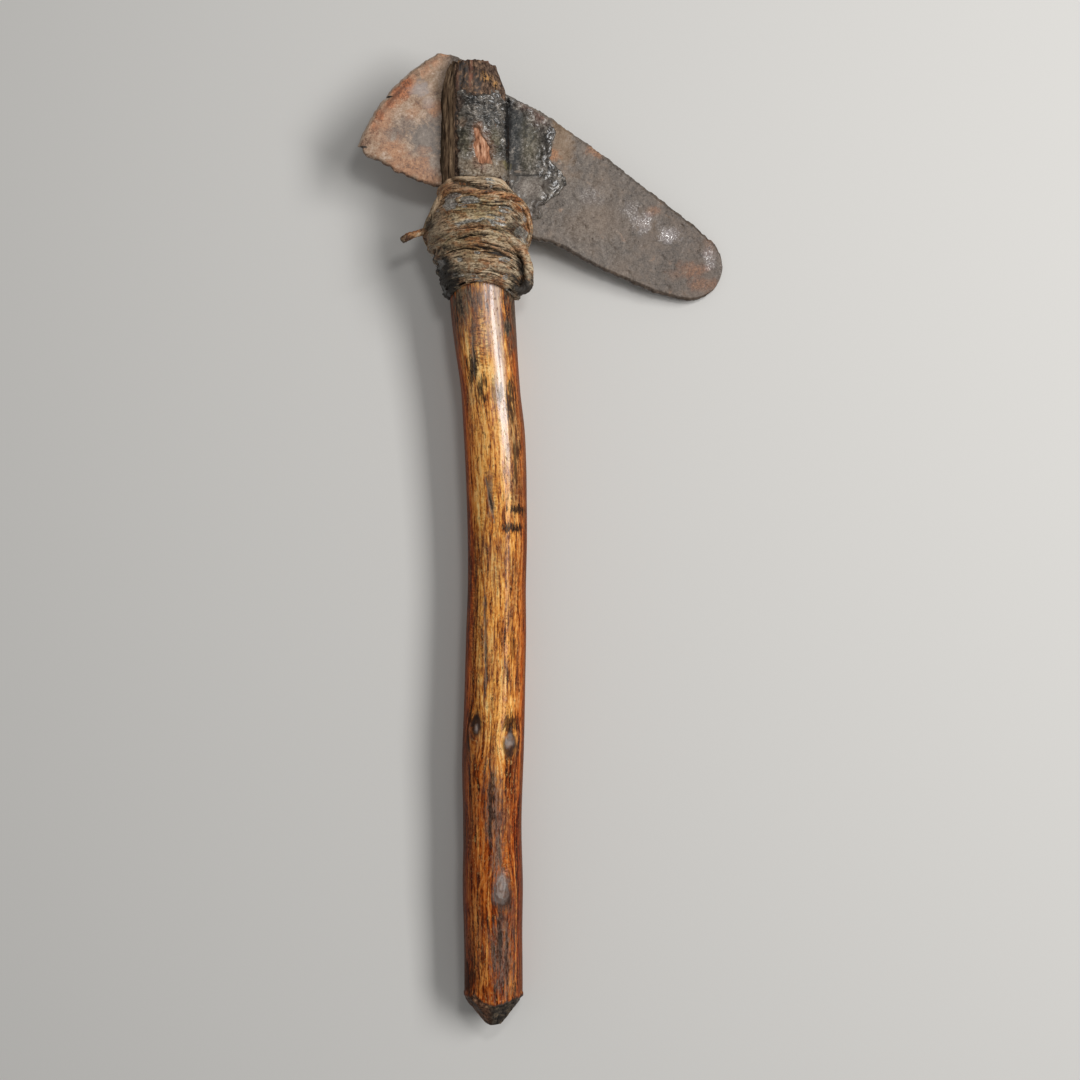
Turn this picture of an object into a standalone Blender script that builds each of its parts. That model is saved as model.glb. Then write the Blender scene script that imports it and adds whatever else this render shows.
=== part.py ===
"""Hafted iron axe, lying down as it comes to rest.

The axe is modelled upright in millimetres: x runs across the haft, y up the haft from the tip of the
butt to the head, and z out of the front, with the mid-plane of the blade at z = 0. One empty lays the
finished axe down on three points: the rounded end of the blade, the back of the lashing and the butt.
World units are metres, +Z is up, +Y runs along the haft towards the head, and the origin is under the
middle of the axe.
"""

import math

import bmesh
import bpy
from mathutils import Matrix, Vector, noise

MM = 0.001
GAP = 0.3
BED_GAP = 0.35
MERGE = 0.001
SMOOTH_UNDER = math.radians(35)

# Finishes: colour, roughness, metallic
FINISHES = {
    "wood": ((0.36, 0.17, 0.05), 0.38, 0.0),
    "iron": ((0.21, 0.16, 0.13), 0.6, 0.35),
    "gum": ((0.09, 0.08, 0.07), 0.3, 0.0),
    "fibre": ((0.16, 0.11, 0.07), 0.75, 0.0),
}

# Rest on the ground: roll about the haft, pitch of the head, and the origin's place in the upright frame
REST_ROLL = math.radians(10.04)
REST_PITCH = math.radians(1.126)
REST_ORIGIN = (29.65, 290.88)
REST_LIFT = 16.68
GROUND_WIDTH = 900.0
GROUND_DEPTH = 100.0

# Haft: half width, place across and bow along its length, each as (height, value)
AROUND = 32
HAFT_TOP = 573.2
HAFT_HALF_WIDTH = [
    (20, 17.4), (56, 17.4), (84, 17.9), (120, 17.4), (165, 18.2), (235, 17.9), (262, 17.4), (296, 17.9),
    (356, 18.5), (380, 18.0), (420, 19.3), (445, 19.6), (506, 20.4), (548, 20.4), (559, 18.1), (566, 15.0),
    (573.2, 12.0),
]
HAFT_CENTRE = [
    (0, 2.1), (90, 1.7), (150, 1.7), (190, 2.8), (235, 3.7), (290, 4.2), (345, 3.0), (380, 0.3),
    (404, -2.1), (428, -4.2), (470, -6.9), (506, -8.9), (548, -9.3), (559, -10.2), (566, -11.3),
    (573.2, -11.8),
]
HAFT_BOW = [(0, 0.0), (150, 1.2), (300, -0.8), (430, 0.0), (573.2, 0.0)]
DEEPER_FROM = 545.0
DEEPER_SHARE = 0.35
GRIP_RING_STEP = 14.0
LASHED_RING_STEP = 13.0
SHOULDER_RING_STEP = 3.8

# Shallow facets left by the knife: (how many round it, share of the half width, twist for each mm, phase)
FACETS = [(7, 0.010, 0.020, 0.0), (4, 0.008, -0.011, 1.3)]

# Butt: axe strokes that leave a blunt eight-sided point, each as (direction in degrees, extra reach)
BUTT_STROKES = [
    (12, 0.6), (58, -0.4), (101, 0.5), (150, -0.2), (193, 0.8), (236, -0.3), (283, 0.4), (327, 0.0),
]
BUTT_TIP_REACH = 3.6
BUTT_SLOPE = 0.76
BUTT_TIP_RADIUS = 2.1
BUTT_RINGS = [0.0, 1.8, 5.0, 8.5, 12.0, 15.0, 17.5, 20.0, 23.5]
BUTT_HEIGHT = 23.5

# Knots of side twigs: (height, direction in degrees, rise, half length along, half width across)
KNOTS = [
    (170.4, 58, 0.9, 7, 6), (177.6, 129, 0.8, 8, 6), (83.4, 68, 0.9, 10, 6), (262.0, 250, 0.8, 9, 6),
    (398.0, 300, 0.7, 9, 6), (118.0, 205, 0.8, 8, 6),
]

# Blade: the rails are the lower and upper edges, from the ground end on the left to the rounded end
BLADE_THICKNESS = 6.0
CUTTING_EDGE_THICKNESS = 1.0
RIM_THICKNESS = 2.6
RIM_WIDTH = 2.2
GRIND_SHARE = 0.021
TIP_CENTRE = (119.2, 454.2)
TIP_RADIUS = 20.1
TIP_START = 53.0
TIP_MIDDLE = -22.0
TIP_END = -98.0
TIP_POINTS = 6
UPPER_EDGE = [
    (-31.0, 582.0), (-18.6, 579.4), (-5.0, 569.5), (10.2, 557.4), (31.8, 546.0), (67.8, 520.8),
    (105.0, 492.0), (123.6, 477.6),
]
LOWER_EDGE = [
    (-79.2, 526.8), (-73.8, 520.8), (-65.4, 517.2), (-53.4, 510.0), (-45.0, 506.4), (-30.0, 501.6),
    (-12.0, 492.6), (6.0, 481.0), (24.0, 471.6), (40.8, 466.6), (60.6, 455.6), (92.4, 441.2),
    (105.0, 437.0),
]
CUTTING_EDGE_BULGE = 6.8
BULGE_FADE = 34.0
BLADE_RIBS = 26
BLADE_ACROSS = 7
FLAT_FROM = -40.0
FLAT_TO = 84.0
TIP_THINNING = 1.3
GRIND_REACH = 40.0
GRIND_THINNING = 0.5

# Slot for the blade in the head: the stretch of the blade it takes in, and the room under and above it
SLOT_FROM = -70.0
SLOT_TO = 60.0
SLOT_UNDER = 0.39
SLOT_ABOVE = 20.0

# Lashing: how thick it lies on the left, right, front and back of the haft, each as (height, thickness)
WALL_LEFT = [
    (435, 1.6), (448, 4.4), (456, 6.0), (466, 9.8), (475, 10.3), (487, 4.6),
    (497, 1.2), (504, 1.1),
]
WALL_RIGHT = [
    (435, 2.6), (448, 7.2), (456, 8.3), (466, 8.6), (475, 9.8), (487, 9.0),
    (497, 5.8), (504, 2.4),
]
WALL_FRONT = [(435, 2.0), (448, 4.4), (462, 6.6), (475, 7.2), (490, 5.6), (504, 2.2)]
THINNEST_WALL = 1.1
BINDING_TOP = 504.0
BINDING_FOOT = 434.5
FOOT_ARCH = 6.5
RIGHT_DROP = 24.0
RIGHT_DROP_REACH = 57.0
LEFT_DROP = 3.5
LEFT_DROP_REACH = 60.0
BINDING_RINGS = 33
BORE_RINGS = 4
TURN_PITCH = 6.8
TURN_DEPTH = 0.6
TURN_SLANT = 2.0
END_ROUND = 1.4
END_ROUND_SHARE = 1 / 12
WALL_LUMP = 0.5
WALL_LUMP_SIZE = 11.0
WALL_LUMP_SEED = 3.7
WALL_LUMP_RADIUS = 20.0

# The thick strand that arches over the front cheek, from a direction on the left to one on the right
ARCH_FROM = 172.0
ARCH_TO = 12.5
ARCH_BELOW_TOP = 8.5
ARCH_RADIUS = 2.2
ARCH_END_RADIUS = 1.5
ARCH_PROUD = 0.3
ARCH_POINTS = 15

# The stiff cut end on the left and the knot on the right, each as (x, y, z, radius)
CUT_END = [
    (-32.0, 477.0, 3.5, 1.9), (-35.0, 476.0, 4.2, 2.4), (-39.0, 474.6, 5.0, 2.4), (-43.0, 473.2, 6.0, 2.3),
    (-48.0, 471.4, 6.4, 2.4), (-53.4, 468.8, 6.0, 1.8),
]
KNOT = [
    (11.0, 467.0, 20.0, 2.2), (17.0, 463.0, 19.0, 2.9), (21.2, 457.0, 15.0, 3.4), (23.2, 450.0, 12.0, 3.1),
    (23.4, 443.0, 10.5, 2.6), (21.0, 437.4, 10.5, 2.5), (16.5, 439.0, 12.0, 2.2),
]

# Gum: its edges are thin, and its lumps rise over a mean thickness
GUM_EDGE = 0.5
GUM_THINNEST = 0.3
CHEEK_GUM_LOW = 504.6
CHEEK_GUM_HIGH = 557.0
CHEEK_GUM_STEP = 5.8
CHEEK_GUM_FROM = 2
CHEEK_GUM_TO = 11
CHEEK_GUM_MEAN = 1.3
CHEEK_GUM_RELIEF = 2.4
CHEEK_GUM_LUMP = 8.0
BLADE_GUM_STEP = 5.0
BLADE_GUM_COLUMNS = 8
BLADE_GUM_MEAN = 1.0
BLADE_GUM_RELIEF = 2.0
BLADE_GUM_LUMP = 7.0
BLADE_GUM_RIGHT = [
    (481.5, 25.6), (488.4, 28.0), (491.4, 33.0), (494.4, 36.5), (500.4, 43.2), (506.4, 45.0), (511.2, 43.2),
    (514.8, 38.0), (519.4, 33.6), (524.4, 34.8), (533.4, 37.8), (541.2, 36.0), (547.2, 29.0), (556.0, 12.9),
]
BLADE_GUM_LEFT = [
    (481.5, 25.0), (487.0, 22.6), (494.0, 19.0), (500.0, 14.4), (506.0, 12.2), (556.0, 11.9),
]

# Ridges of the gum on the blade: a fillet against the cheek, and a rim a little inside the right-hand edge
FILLET_RISE = 3.2
FILLET_REACH = 4.0
RIM_RISE = 1.6
RIM_INSET = 4.5
RIM_REACH = 3.5

RAIL_STEPS = 12
TUBE_SIDES = 7
TUBE_ACROSS = Vector((0.31, 0.22, 0.93))


def smooth_curve(points, at):
    """Value at one place of the smooth curve that goes through (place, value) points."""
    if at <= points[0][0]:
        return points[0][1]
    if at >= points[-1][0]:
        return points[-1][1]
    i = max(k for k in range(len(points) - 1) if points[k][0] <= at)

    def slope(k):
        before = points[max(k - 1, 0)]
        after = points[min(k + 1, len(points) - 1)]
        return (after[1] - before[1]) / (after[0] - before[0])

    (x0, y0), (x1, y1) = points[i], points[i + 1]
    width = x1 - x0
    t = (at - x0) / width
    rise = (2 * t**3 - 3 * t**2 + 1) * y0 + (3 * t**2 - 2 * t**3) * y1
    lean = (t**3 - 2 * t**2 + t) * slope(i) + (t**3 - t**2) * slope(i + 1)
    return rise + lean * width


def rail_through(points, shares):
    """Points on the smooth path through the given (x, y) points, at shares of its length."""
    dense = []
    for i in range(len(points) - 1):
        before = Vector(points[max(i - 1, 0)])
        start = Vector(points[i])
        end = Vector(points[i + 1])
        after = Vector(points[min(i + 2, len(points) - 1)])
        for k in range(RAIL_STEPS):
            t = k / RAIL_STEPS
            dense.append(
                0.5 * (2 * start + (end - before) * t + (2 * before - 5 * start + 4 * end - after) * t**2
                       + (3 * start - before - 3 * end + after) * t**3)
            )
    dense.append(Vector(points[-1]))
    lengths = [0.0]
    for a, b in zip(dense, dense[1:]):
        lengths.append(lengths[-1] + (b - a).length)
    rail = []
    for share in shares:
        want = lengths[-1] * share
        i = max(j for j in range(len(lengths) - 1) if lengths[j] <= want)
        t = (want - lengths[i]) / (lengths[i + 1] - lengths[i])
        rail.append(dense[i].lerp(dense[i + 1], t))
    return rail


def arc(centre, radius, start, end, count):
    """Points of an arc, angles in degrees from +x."""
    turn = [math.radians(start + (end - start) * k / (count - 1)) for k in range(count)]
    return [(centre[0] + radius * math.cos(a), centre[1] + radius * math.sin(a)) for a in turn]


def lumps(x, y, z, size, seed):
    """Smooth uneven relief between about -1 and 1."""
    return noise.noise(Vector((x / size + seed, y / size, z / size)))


def clear_scene():
    for thing in list(bpy.data.objects):
        bpy.data.objects.remove(thing)


def material(name):
    colour, roughness, metallic = FINISHES[name]
    made = bpy.data.materials.new(name)
    made.use_nodes = True
    shader = made.node_tree.nodes["Principled BSDF"]
    shader.inputs["Base Color"].default_value = (*colour, 1.0)
    shader.inputs["Roughness"].default_value = roughness
    shader.inputs["Metallic"].default_value = metallic
    return made


def add_object(name, shape, finish):
    """Turn a bmesh in millimetres into a closed, smooth-shaded object that lies with the axe."""
    bmesh.ops.remove_doubles(shape, verts=shape.verts, dist=MERGE)
    bmesh.ops.dissolve_degenerate(shape, edges=shape.edges, dist=MERGE)
    bmesh.ops.recalc_face_normals(shape, faces=shape.faces)
    if shape.calc_volume(signed=True) < 0:
        bmesh.ops.reverse_faces(shape, faces=shape.faces)
    bmesh.ops.scale(shape, vec=(MM, MM, MM), verts=shape.verts)
    mesh = bpy.data.meshes.new(name)
    shape.to_mesh(mesh)
    shape.free()
    mesh.shade_smooth()
    mesh.set_sharp_from_angle(angle=SMOOTH_UNDER)
    if finish:
        mesh.materials.append(finish)
    thing = bpy.data.objects.new(name, mesh)
    bpy.context.collection.objects.link(thing)
    thing.parent = bpy.data.objects["axe_at_rest"]
    return thing


def grid_faces(shape, rows, flip=False, ring=False):
    """Faces between neighbouring rows of vertices, round the back too when each row is a ring."""
    for low, high in zip(rows, rows[1:]):
        steps = len(low) if ring else len(low) - 1
        for j in range(steps):
            k = (j + 1) % len(low)
            corners = [low[j], high[j], high[k], low[k]]
            if flip:
                corners.reverse()
            shape.faces.new(corners)


def rows_of(shape, points):
    return [[shape.verts.new(p) for p in row] for row in points]


def slab(outer_points, inner_points):
    """Closed solid between two grids of points that have the same rows and columns."""
    shape = bmesh.new()
    outer = rows_of(shape, outer_points)
    inner = rows_of(shape, inner_points)
    grid_faces(shape, outer)
    grid_faces(shape, inner, flip=True)
    grid_faces(shape, [outer[0], inner[0]])
    grid_faces(shape, [outer[-1], inner[-1]], flip=True)
    for side, turned in ((0, True), (-1, False)):
        grid_faces(shape, [[row[side] for row in outer], [row[side] for row in inner]], flip=turned)
    return shape


def tube(path):
    """Closed tube along a path of (x, y, z, radius) points."""
    shape = bmesh.new()
    points = [Vector(p[:3]) for p in path]
    rings = []
    for i, point in enumerate(points):
        ahead = (points[min(i + 1, len(points) - 1)] - points[max(i - 1, 0)]).normalized()
        across = ahead.cross(TUBE_ACROSS).normalized()
        up = ahead.cross(across)
        ring = []
        for k in range(TUBE_SIDES):
            turn = 2 * math.pi * k / TUBE_SIDES
            outward = math.cos(turn) * across + math.sin(turn) * up
            ring.append(shape.verts.new(point + path[i][3] * outward))
        rings.append(ring)
    grid_faces(shape, rings, ring=True)
    shape.faces.new(rings[0])
    shape.faces.new(list(reversed(rings[-1])))
    return shape


def cut_with(thing, cutter, operation="DIFFERENCE"):
    change = thing.modifiers.new(f"{operation.lower()} {cutter.name}", "BOOLEAN")
    change.operation = operation
    change.object = cutter


def as_cutter(thing):
    thing.hide_render = True
    thing.display_type = "WIRE"
    return thing


def angle_of(column):
    return 2 * math.pi * column / AROUND


def butt_reach(turn, height):
    """Radius left by the strokes that point the butt."""
    reach = BUTT_TIP_RADIUS
    if height > 0:
        reach = min(
            (BUTT_TIP_REACH + extra + BUTT_SLOPE * height) / max(math.cos(turn - math.radians(way)), 0.2)
            for way, extra in BUTT_STROKES
        )
    return reach


def haft_surface(turn, height, grow=0.0):
    """Point on the haft in a direction round it, at a height, moved outwards by grow."""
    half = smooth_curve(HAFT_HALF_WIDTH, height)
    depth = 1 + DEEPER_SHARE * max(0.0, height - DEEPER_FROM) / (HAFT_TOP - DEEPER_FROM)
    radius = half * (1 + sum(share * math.cos(count * turn + twist * height + phase)
                             for count, share, twist, phase in FACETS))
    for knot_height, way, rise, along, across in KNOTS:
        apart = math.remainder(turn - math.radians(way), 2 * math.pi) * half
        radius += rise * math.exp(-((height - knot_height) / along) ** 2 - (apart / across) ** 2)
    if height < BUTT_HEIGHT:
        radius = min(radius, butt_reach(turn, height))
    radius += grow
    x = smooth_curve(HAFT_CENTRE, height) + radius * math.cos(turn)
    z = smooth_curve(HAFT_BOW, height) + radius * math.sin(turn) * depth
    return Vector((x, height, z))


def spread(start, end, step):
    """Evenly spaced values from start to end, about a step apart."""
    count = max(1, round((end - start) / step))
    return [start + (end - start) * k / count for k in range(count + 1)]


def cheek_gum_heights():
    return spread(CHEEK_GUM_LOW, CHEEK_GUM_HIGH, CHEEK_GUM_STEP)


def make_haft(finish):
    heights = BUTT_RINGS + spread(BUTT_HEIGHT, BINDING_FOOT, GRIP_RING_STEP)[1:]
    heights += spread(BINDING_FOOT, CHEEK_GUM_LOW, LASHED_RING_STEP)[1:] + cheek_gum_heights()[1:]
    heights += spread(CHEEK_GUM_HIGH, HAFT_TOP, SHOULDER_RING_STEP)[1:]
    shape = bmesh.new()
    rings = rows_of(shape, [[haft_surface(angle_of(k), y) for k in range(AROUND)] for y in heights])
    grid_faces(shape, rings, ring=True)
    for ring in (rings[0], rings[-1]):
        shape.faces.new(ring)
    return add_object("haft", shape, finish)


def blade_rails():
    """Lower and upper edges from the ground end to the middle of the rounded end."""
    upper = UPPER_EDGE + arc(TIP_CENTRE, TIP_RADIUS, TIP_START, TIP_MIDDLE, TIP_POINTS)
    lower = LOWER_EDGE + arc(TIP_CENTRE, TIP_RADIUS, TIP_END, TIP_MIDDLE, TIP_POINTS)
    shares = [0.0] + [GRIND_SHARE + (1 - GRIND_SHARE) * k / BLADE_RIBS for k in range(BLADE_RIBS + 1)]
    return rail_through(lower, shares), rail_through(upper, shares)


def half_thickness(x):
    """Half the thickness of the plate, which is even where the haft holds it and thins to the round end."""
    thin = max(0.0, (x - FLAT_TO) / (TIP_CENTRE[0] + TIP_RADIUS - FLAT_TO))
    ground = max(0.0, (FLAT_FROM - x) / GRIND_REACH)
    return BLADE_THICKNESS / 2 - TIP_THINNING * thin**1.5 - GRIND_THINNING * ground


def blade_rows():
    """Ribs of the blade from its lower to its upper edge, each point with its half thickness."""
    ribs = list(zip(*blade_rails()))
    chord = ribs[0][1] - ribs[0][0]
    outward = Vector((-chord.y, chord.x)).normalized()
    rows = []
    for i, (low, high) in enumerate(ribs[:-1]):
        length = (high - low).length
        rim = min(RIM_WIDTH / length, 0.2)
        between = BLADE_ACROSS - 3
        shares = [0.0] + [rim + (1 - 2 * rim) * k / between for k in range(between + 1)] + [1.0]
        row = []
        for j, share in enumerate(shares):
            place = low.lerp(high, share)
            inward = max(0.0, 1 - (low - ribs[0][0]).length / BULGE_FADE)
            place = place + outward * CUTTING_EDGE_BULGE * 4 * share * (1 - share) * inward
            half = half_thickness(place.x)
            if j in (0, len(shares) - 1):
                half = min(half, RIM_THICKNESS / 2)
            if i == 0:
                half = CUTTING_EDGE_THICKNESS / 2
            row.append((place, half))
        rows.append(row)
    end = ribs[-1][0].lerp(ribs[-1][1], 0.5)
    rows.append([(end, RIM_THICKNESS / 2)] * BLADE_ACROSS)
    return rows


def make_blade(finish):
    rows = blade_rows()
    front = [[Vector((p.x, p.y, half)) for p, half in row] for row in rows]
    back = [[Vector((p.x, p.y, -half)) for p, half in row] for row in rows]
    return add_object("blade", slab(front, back), finish)


def make_slot_cutter():
    """Room for the blade, open to the top of the head: the plate's lower edge grown by the gap."""
    lower = [p for p in blade_rails()[0] if SLOT_FROM < p.x < SLOT_TO]
    half = BLADE_THICKNESS / 2 + GAP
    shape = bmesh.new()
    sides = []
    for z in (-half, half):
        foot = [shape.verts.new((p.x, p.y - SLOT_UNDER, z)) for p in lower]
        top = [shape.verts.new((p.x, HAFT_TOP + SLOT_ABOVE, z)) for p in lower]
        sides.append((foot, top))
    (back_foot, back_top), (front_foot, front_top) = sides
    around = [back_foot, back_top, front_top, front_foot, back_foot]
    for near, far in zip(around, around[1:]):
        grid_faces(shape, [near, far])
    for end in (0, -1):
        shape.faces.new((back_foot[end], back_top[end], front_top[end], front_foot[end]))
    return as_cutter(add_object("slot_cutter", shape, None))


def binding_top(turn):
    """Height of the lashing's upper edge, which dips under the blade on both sides."""
    right = max(0.0, 1 - abs(math.degrees(math.remainder(turn, 2 * math.pi))) / RIGHT_DROP_REACH)
    left = max(0.0, 1 - abs(math.degrees(math.remainder(turn - math.pi, 2 * math.pi))) / LEFT_DROP_REACH)
    return BINDING_TOP - RIGHT_DROP * right**1.8 - LEFT_DROP * left**1.5


def binding_foot(turn):
    return BINDING_FOOT + FOOT_ARCH * math.sin(turn) ** 2


def binding_surface(turn, share, grow=0.0):
    """Point on the outside of the lashing, at a share of the way from its foot to its upper edge."""
    foot = binding_foot(turn)
    height = foot + (binding_top(turn) - foot) * share
    side = math.cos(turn)
    wall_side = smooth_curve(WALL_RIGHT if side > 0 else WALL_LEFT, height)
    wall = wall_side * side**2 + smooth_curve(WALL_FRONT, height) * (1 - side**2)
    wall += TURN_DEPTH * math.cos(2 * math.pi * (height + TURN_SLANT * side) / TURN_PITCH)
    around = (WALL_LUMP_RADIUS * side, WALL_LUMP_RADIUS * math.sin(turn))
    wall += WALL_LUMP * lumps(around[0], height, around[1], WALL_LUMP_SIZE, WALL_LUMP_SEED)
    wall -= END_ROUND * max(0.0, 1 - min(share, 1 - share) / END_ROUND_SHARE) ** 2
    return haft_surface(turn, height, GAP + max(wall, THINNEST_WALL) + grow)


def make_arch_strand():
    """The thick strand that rises over the front cheek and dips under the blade on both sides."""
    path = []
    for step in range(ARCH_POINTS):
        turn = math.radians(ARCH_FROM + (ARCH_TO - ARCH_FROM) * step / (ARCH_POINTS - 1))
        share = 1 - ARCH_BELOW_TOP / (binding_top(turn) - binding_foot(turn))
        radius = ARCH_END_RADIUS if step in (0, ARCH_POINTS - 1) else ARCH_RADIUS
        path.append((*binding_surface(turn, share, grow=ARCH_PROUD), radius))
    return add_object("arch_strand", tube(path), None)


def make_binding(finish, slot):
    columns = [angle_of(k) for k in range(AROUND)]
    rings = []
    for i in range(BINDING_RINGS):
        share = i / (BINDING_RINGS - 1)
        rings.append([binding_surface(turn, share) for turn in columns])
    for i in range(BORE_RINGS):
        share = 1 - i / (BORE_RINGS - 1)
        ring = []
        for turn in columns:
            height = binding_foot(turn) + (binding_top(turn) - binding_foot(turn)) * share
            ring.append(haft_surface(turn, height, BED_GAP))
        rings.append(ring)
    shape = bmesh.new()
    rows = rows_of(shape, rings)
    grid_faces(shape, rows + [rows[0]], ring=True)
    binding = add_object("binding", shape, finish)
    cut_with(binding, slot)
    cut_end = add_object("cut_end", tube(CUT_END), None)
    knot = add_object("knot", tube(KNOT), None)
    for strand in (make_arch_strand(), cut_end, knot):
        cut_with(binding, as_cutter(strand), "UNION")
    return binding


def edge_fade(i, count, reach):
    """0 at the first and last of a row, rising to 1 within a few steps."""
    return min(1.0, min(i, count - 1 - i) / reach)


def make_cheek_gum(name, side, seed, finish):
    """Crust of gum on one half of the split head: side is 1 for the front and -1 for the back."""
    heights = cheek_gum_heights()
    columns = list(range(CHEEK_GUM_FROM, CHEEK_GUM_TO + 1))
    outer = []
    inner = []
    for i, height in enumerate(heights):
        outer_row = []
        inner_row = []
        for j, column in enumerate(columns):
            turn = side * angle_of(column)
            fade = edge_fade(i, len(heights), 2) * edge_fade(j, len(columns), 2)
            bed = haft_surface(turn, height)
            relief = CHEEK_GUM_MEAN + CHEEK_GUM_RELIEF * lumps(bed.x, bed.y, bed.z, CHEEK_GUM_LUMP, seed)
            thick = GUM_EDGE + fade * max(GUM_THINNEST, relief)
            inner_row.append(haft_surface(turn, height, BED_GAP))
            outer_row.append(haft_surface(turn, height, BED_GAP + thick))
        outer.append(outer_row)
        inner.append(inner_row)
    return add_object(name, slab(outer, inner), finish)


def make_blade_gum(name, side, seed, finish):
    """Patch of gum in the corner between the cheek and the blade's right arm."""
    heights = spread(BLADE_GUM_LEFT[0][0], BLADE_GUM_LEFT[-1][0], BLADE_GUM_STEP)
    bed = BLADE_THICKNESS / 2 + GAP
    outer = []
    inner = []
    for i, height in enumerate(heights):
        left = smooth_curve(BLADE_GUM_LEFT, height)
        right = smooth_curve(BLADE_GUM_RIGHT, height)
        outer_row = []
        inner_row = []
        for j in range(BLADE_GUM_COLUMNS):
            x = left + (right - left) * j / (BLADE_GUM_COLUMNS - 1)
            fade = edge_fade(i, len(heights), 2) * min(1.0, BLADE_GUM_COLUMNS - 1 - j)
            fillet = FILLET_RISE * math.exp(-(x - left) / FILLET_REACH)
            rim = RIM_RISE * math.exp(-(((right - x) - RIM_INSET) / RIM_REACH) ** 2)
            relief = BLADE_GUM_MEAN + BLADE_GUM_RELIEF * lumps(x, height, 0, BLADE_GUM_LUMP, seed)
            thick = GUM_EDGE + fade * max(GUM_THINNEST, relief + fillet + rim)
            inner_row.append(Vector((x, height, side * bed)))
            outer_row.append(Vector((x, height, side * (bed + thick))))
        outer.append(outer_row)
        inner.append(inner_row)
    return add_object(name, slab(outer, inner), finish)


def make_ground_cutter():
    """Everything below the ground, which trims small flats where the axe rests."""
    shape = bmesh.new()
    block = Matrix.Diagonal((GROUND_WIDTH, GROUND_WIDTH, GROUND_DEPTH, 1))
    bmesh.ops.create_cube(shape, size=1.0, matrix=block)
    cutter = as_cutter(add_object("ground_cutter", shape, None))
    cutter.parent = None
    cutter.location = (0, 0, -GROUND_DEPTH / 2 * MM)
    return cutter


def lay_down():
    """Empty that turns the upright axe into its rest on the ground, origin under its middle."""
    empty = bpy.data.objects.new("axe_at_rest", None)
    bpy.context.collection.objects.link(empty)
    turn = Matrix.Rotation(REST_PITCH, 4, "X") @ Matrix.Rotation(REST_ROLL, 4, "Y")
    lift = Matrix.Translation(Vector((0, 0, REST_LIFT * MM)))
    origin = Matrix.Translation(Vector((-REST_ORIGIN[0] * MM, -REST_ORIGIN[1] * MM, 0)))
    empty.matrix_world = origin @ lift @ turn


def main():
    clear_scene()
    lay_down()
    gum = material("gum")
    slot = make_slot_cutter()
    haft = make_haft(material("wood"))
    cut_with(haft, slot)
    blade = make_blade(material("iron"))
    binding = make_binding(material("fibre"), slot)
    make_cheek_gum("gum_front_cheek", 1, 2.3, gum)
    make_cheek_gum("gum_back_cheek", -1, 8.1, gum)
    make_blade_gum("gum_front_blade", 1, 4.9, gum)
    make_blade_gum("gum_back_blade", -1, 6.2, gum)
    ground = make_ground_cutter()
    for thing in (haft, binding, blade):
        cut_with(thing, ground)


main()
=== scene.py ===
"""Looks of a hafted iron axe that lies on a pale floor.

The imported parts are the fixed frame. Shapes are worked out upright and in millimetres: x runs across the
haft, y up the haft from the tip of the butt to the head, and z out of the front, with the mid-plane of the
blade at z = 0. lay_down() turns them into the row frame, in metres, as the axe comes to rest.
"""
import math

import bpy
import numpy as np
from mathutils import Matrix, Vector, noise


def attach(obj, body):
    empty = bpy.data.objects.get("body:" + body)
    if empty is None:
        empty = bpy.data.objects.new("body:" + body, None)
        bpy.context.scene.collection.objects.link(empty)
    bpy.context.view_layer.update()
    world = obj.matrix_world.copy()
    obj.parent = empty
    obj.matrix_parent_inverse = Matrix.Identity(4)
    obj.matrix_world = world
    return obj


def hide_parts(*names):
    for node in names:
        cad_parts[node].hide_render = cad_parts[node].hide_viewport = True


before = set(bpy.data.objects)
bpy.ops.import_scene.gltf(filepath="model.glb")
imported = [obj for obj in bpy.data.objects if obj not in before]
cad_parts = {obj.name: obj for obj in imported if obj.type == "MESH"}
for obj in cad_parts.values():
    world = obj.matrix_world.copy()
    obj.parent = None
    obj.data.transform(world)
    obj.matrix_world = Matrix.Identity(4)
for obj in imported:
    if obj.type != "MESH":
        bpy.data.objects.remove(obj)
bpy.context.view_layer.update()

bl_info = {
    "name": "Hafted iron axe",
    "version": (1, 0, 0),
    "blender": (4, 5, 0),
    "location": "View3D > Sidebar > Axe",
    "description": "Models and finishes a hafted iron axe round its packed parts",
    "category": "Add Mesh",
}

MM = 0.001
MERGE = 1e-6
FRONT = math.pi / 2

# How the upright axe lies on the ground
REST_TURN = Matrix.Rotation(math.radians(1.126), 3, "X") @ Matrix.Rotation(math.radians(10.04), 3, "Y")
REST_PLACE = (-0.02965, -0.29088, 0.01668)

# The photograph's camera, upright: what it aims at on the mid-plane of the blade, how far off it is, and half
# the width of the mid-plane that it sees
CAMERA_AIM = (30.0, 290.4, 0.0)
CAMERA_DISTANCE = 1000.0
CAMERA_HALF_WIDTH = 324.0

# Haft: half width, place across and bow along its length, each as (height, value)
HAFT_TOP = 573.2
HAFT_HALF_WIDTH = [
    (20, 17.4), (56, 17.4), (84, 17.9), (120, 17.4), (165, 18.2), (235, 17.9), (262, 17.4), (296, 17.9),
    (356, 18.5), (380, 18.0), (420, 19.3), (445, 19.6), (506, 20.4), (548, 20.4), (559, 18.7), (566, 16.6),
    (573.2, 14.4),
]
HAFT_CENTRE = [
    (0, 2.1), (90, 1.7), (150, 1.7), (190, 2.8), (235, 3.7), (290, 4.2), (345, 3.0), (380, 0.3),
    (404, -2.1), (428, -4.2), (470, -6.9), (506, -8.9), (548, -9.3), (559, -9.6), (566, -10.3),
    (573.2, -10.6),
]
HAFT_BOW = [(0, 0.0), (150, 1.2), (300, -0.8), (430, 0.0), (573.2, 0.0)]
DEEPER_FROM = 545.0
DEEPER_SHARE = 0.35
FACETS = [(7, 0.008, 0.020, 0.0), (4, 0.008, -0.011, 1.3)]
GRAIN_RADIUS = 18.0
HAFT_COLUMNS = 252

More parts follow.
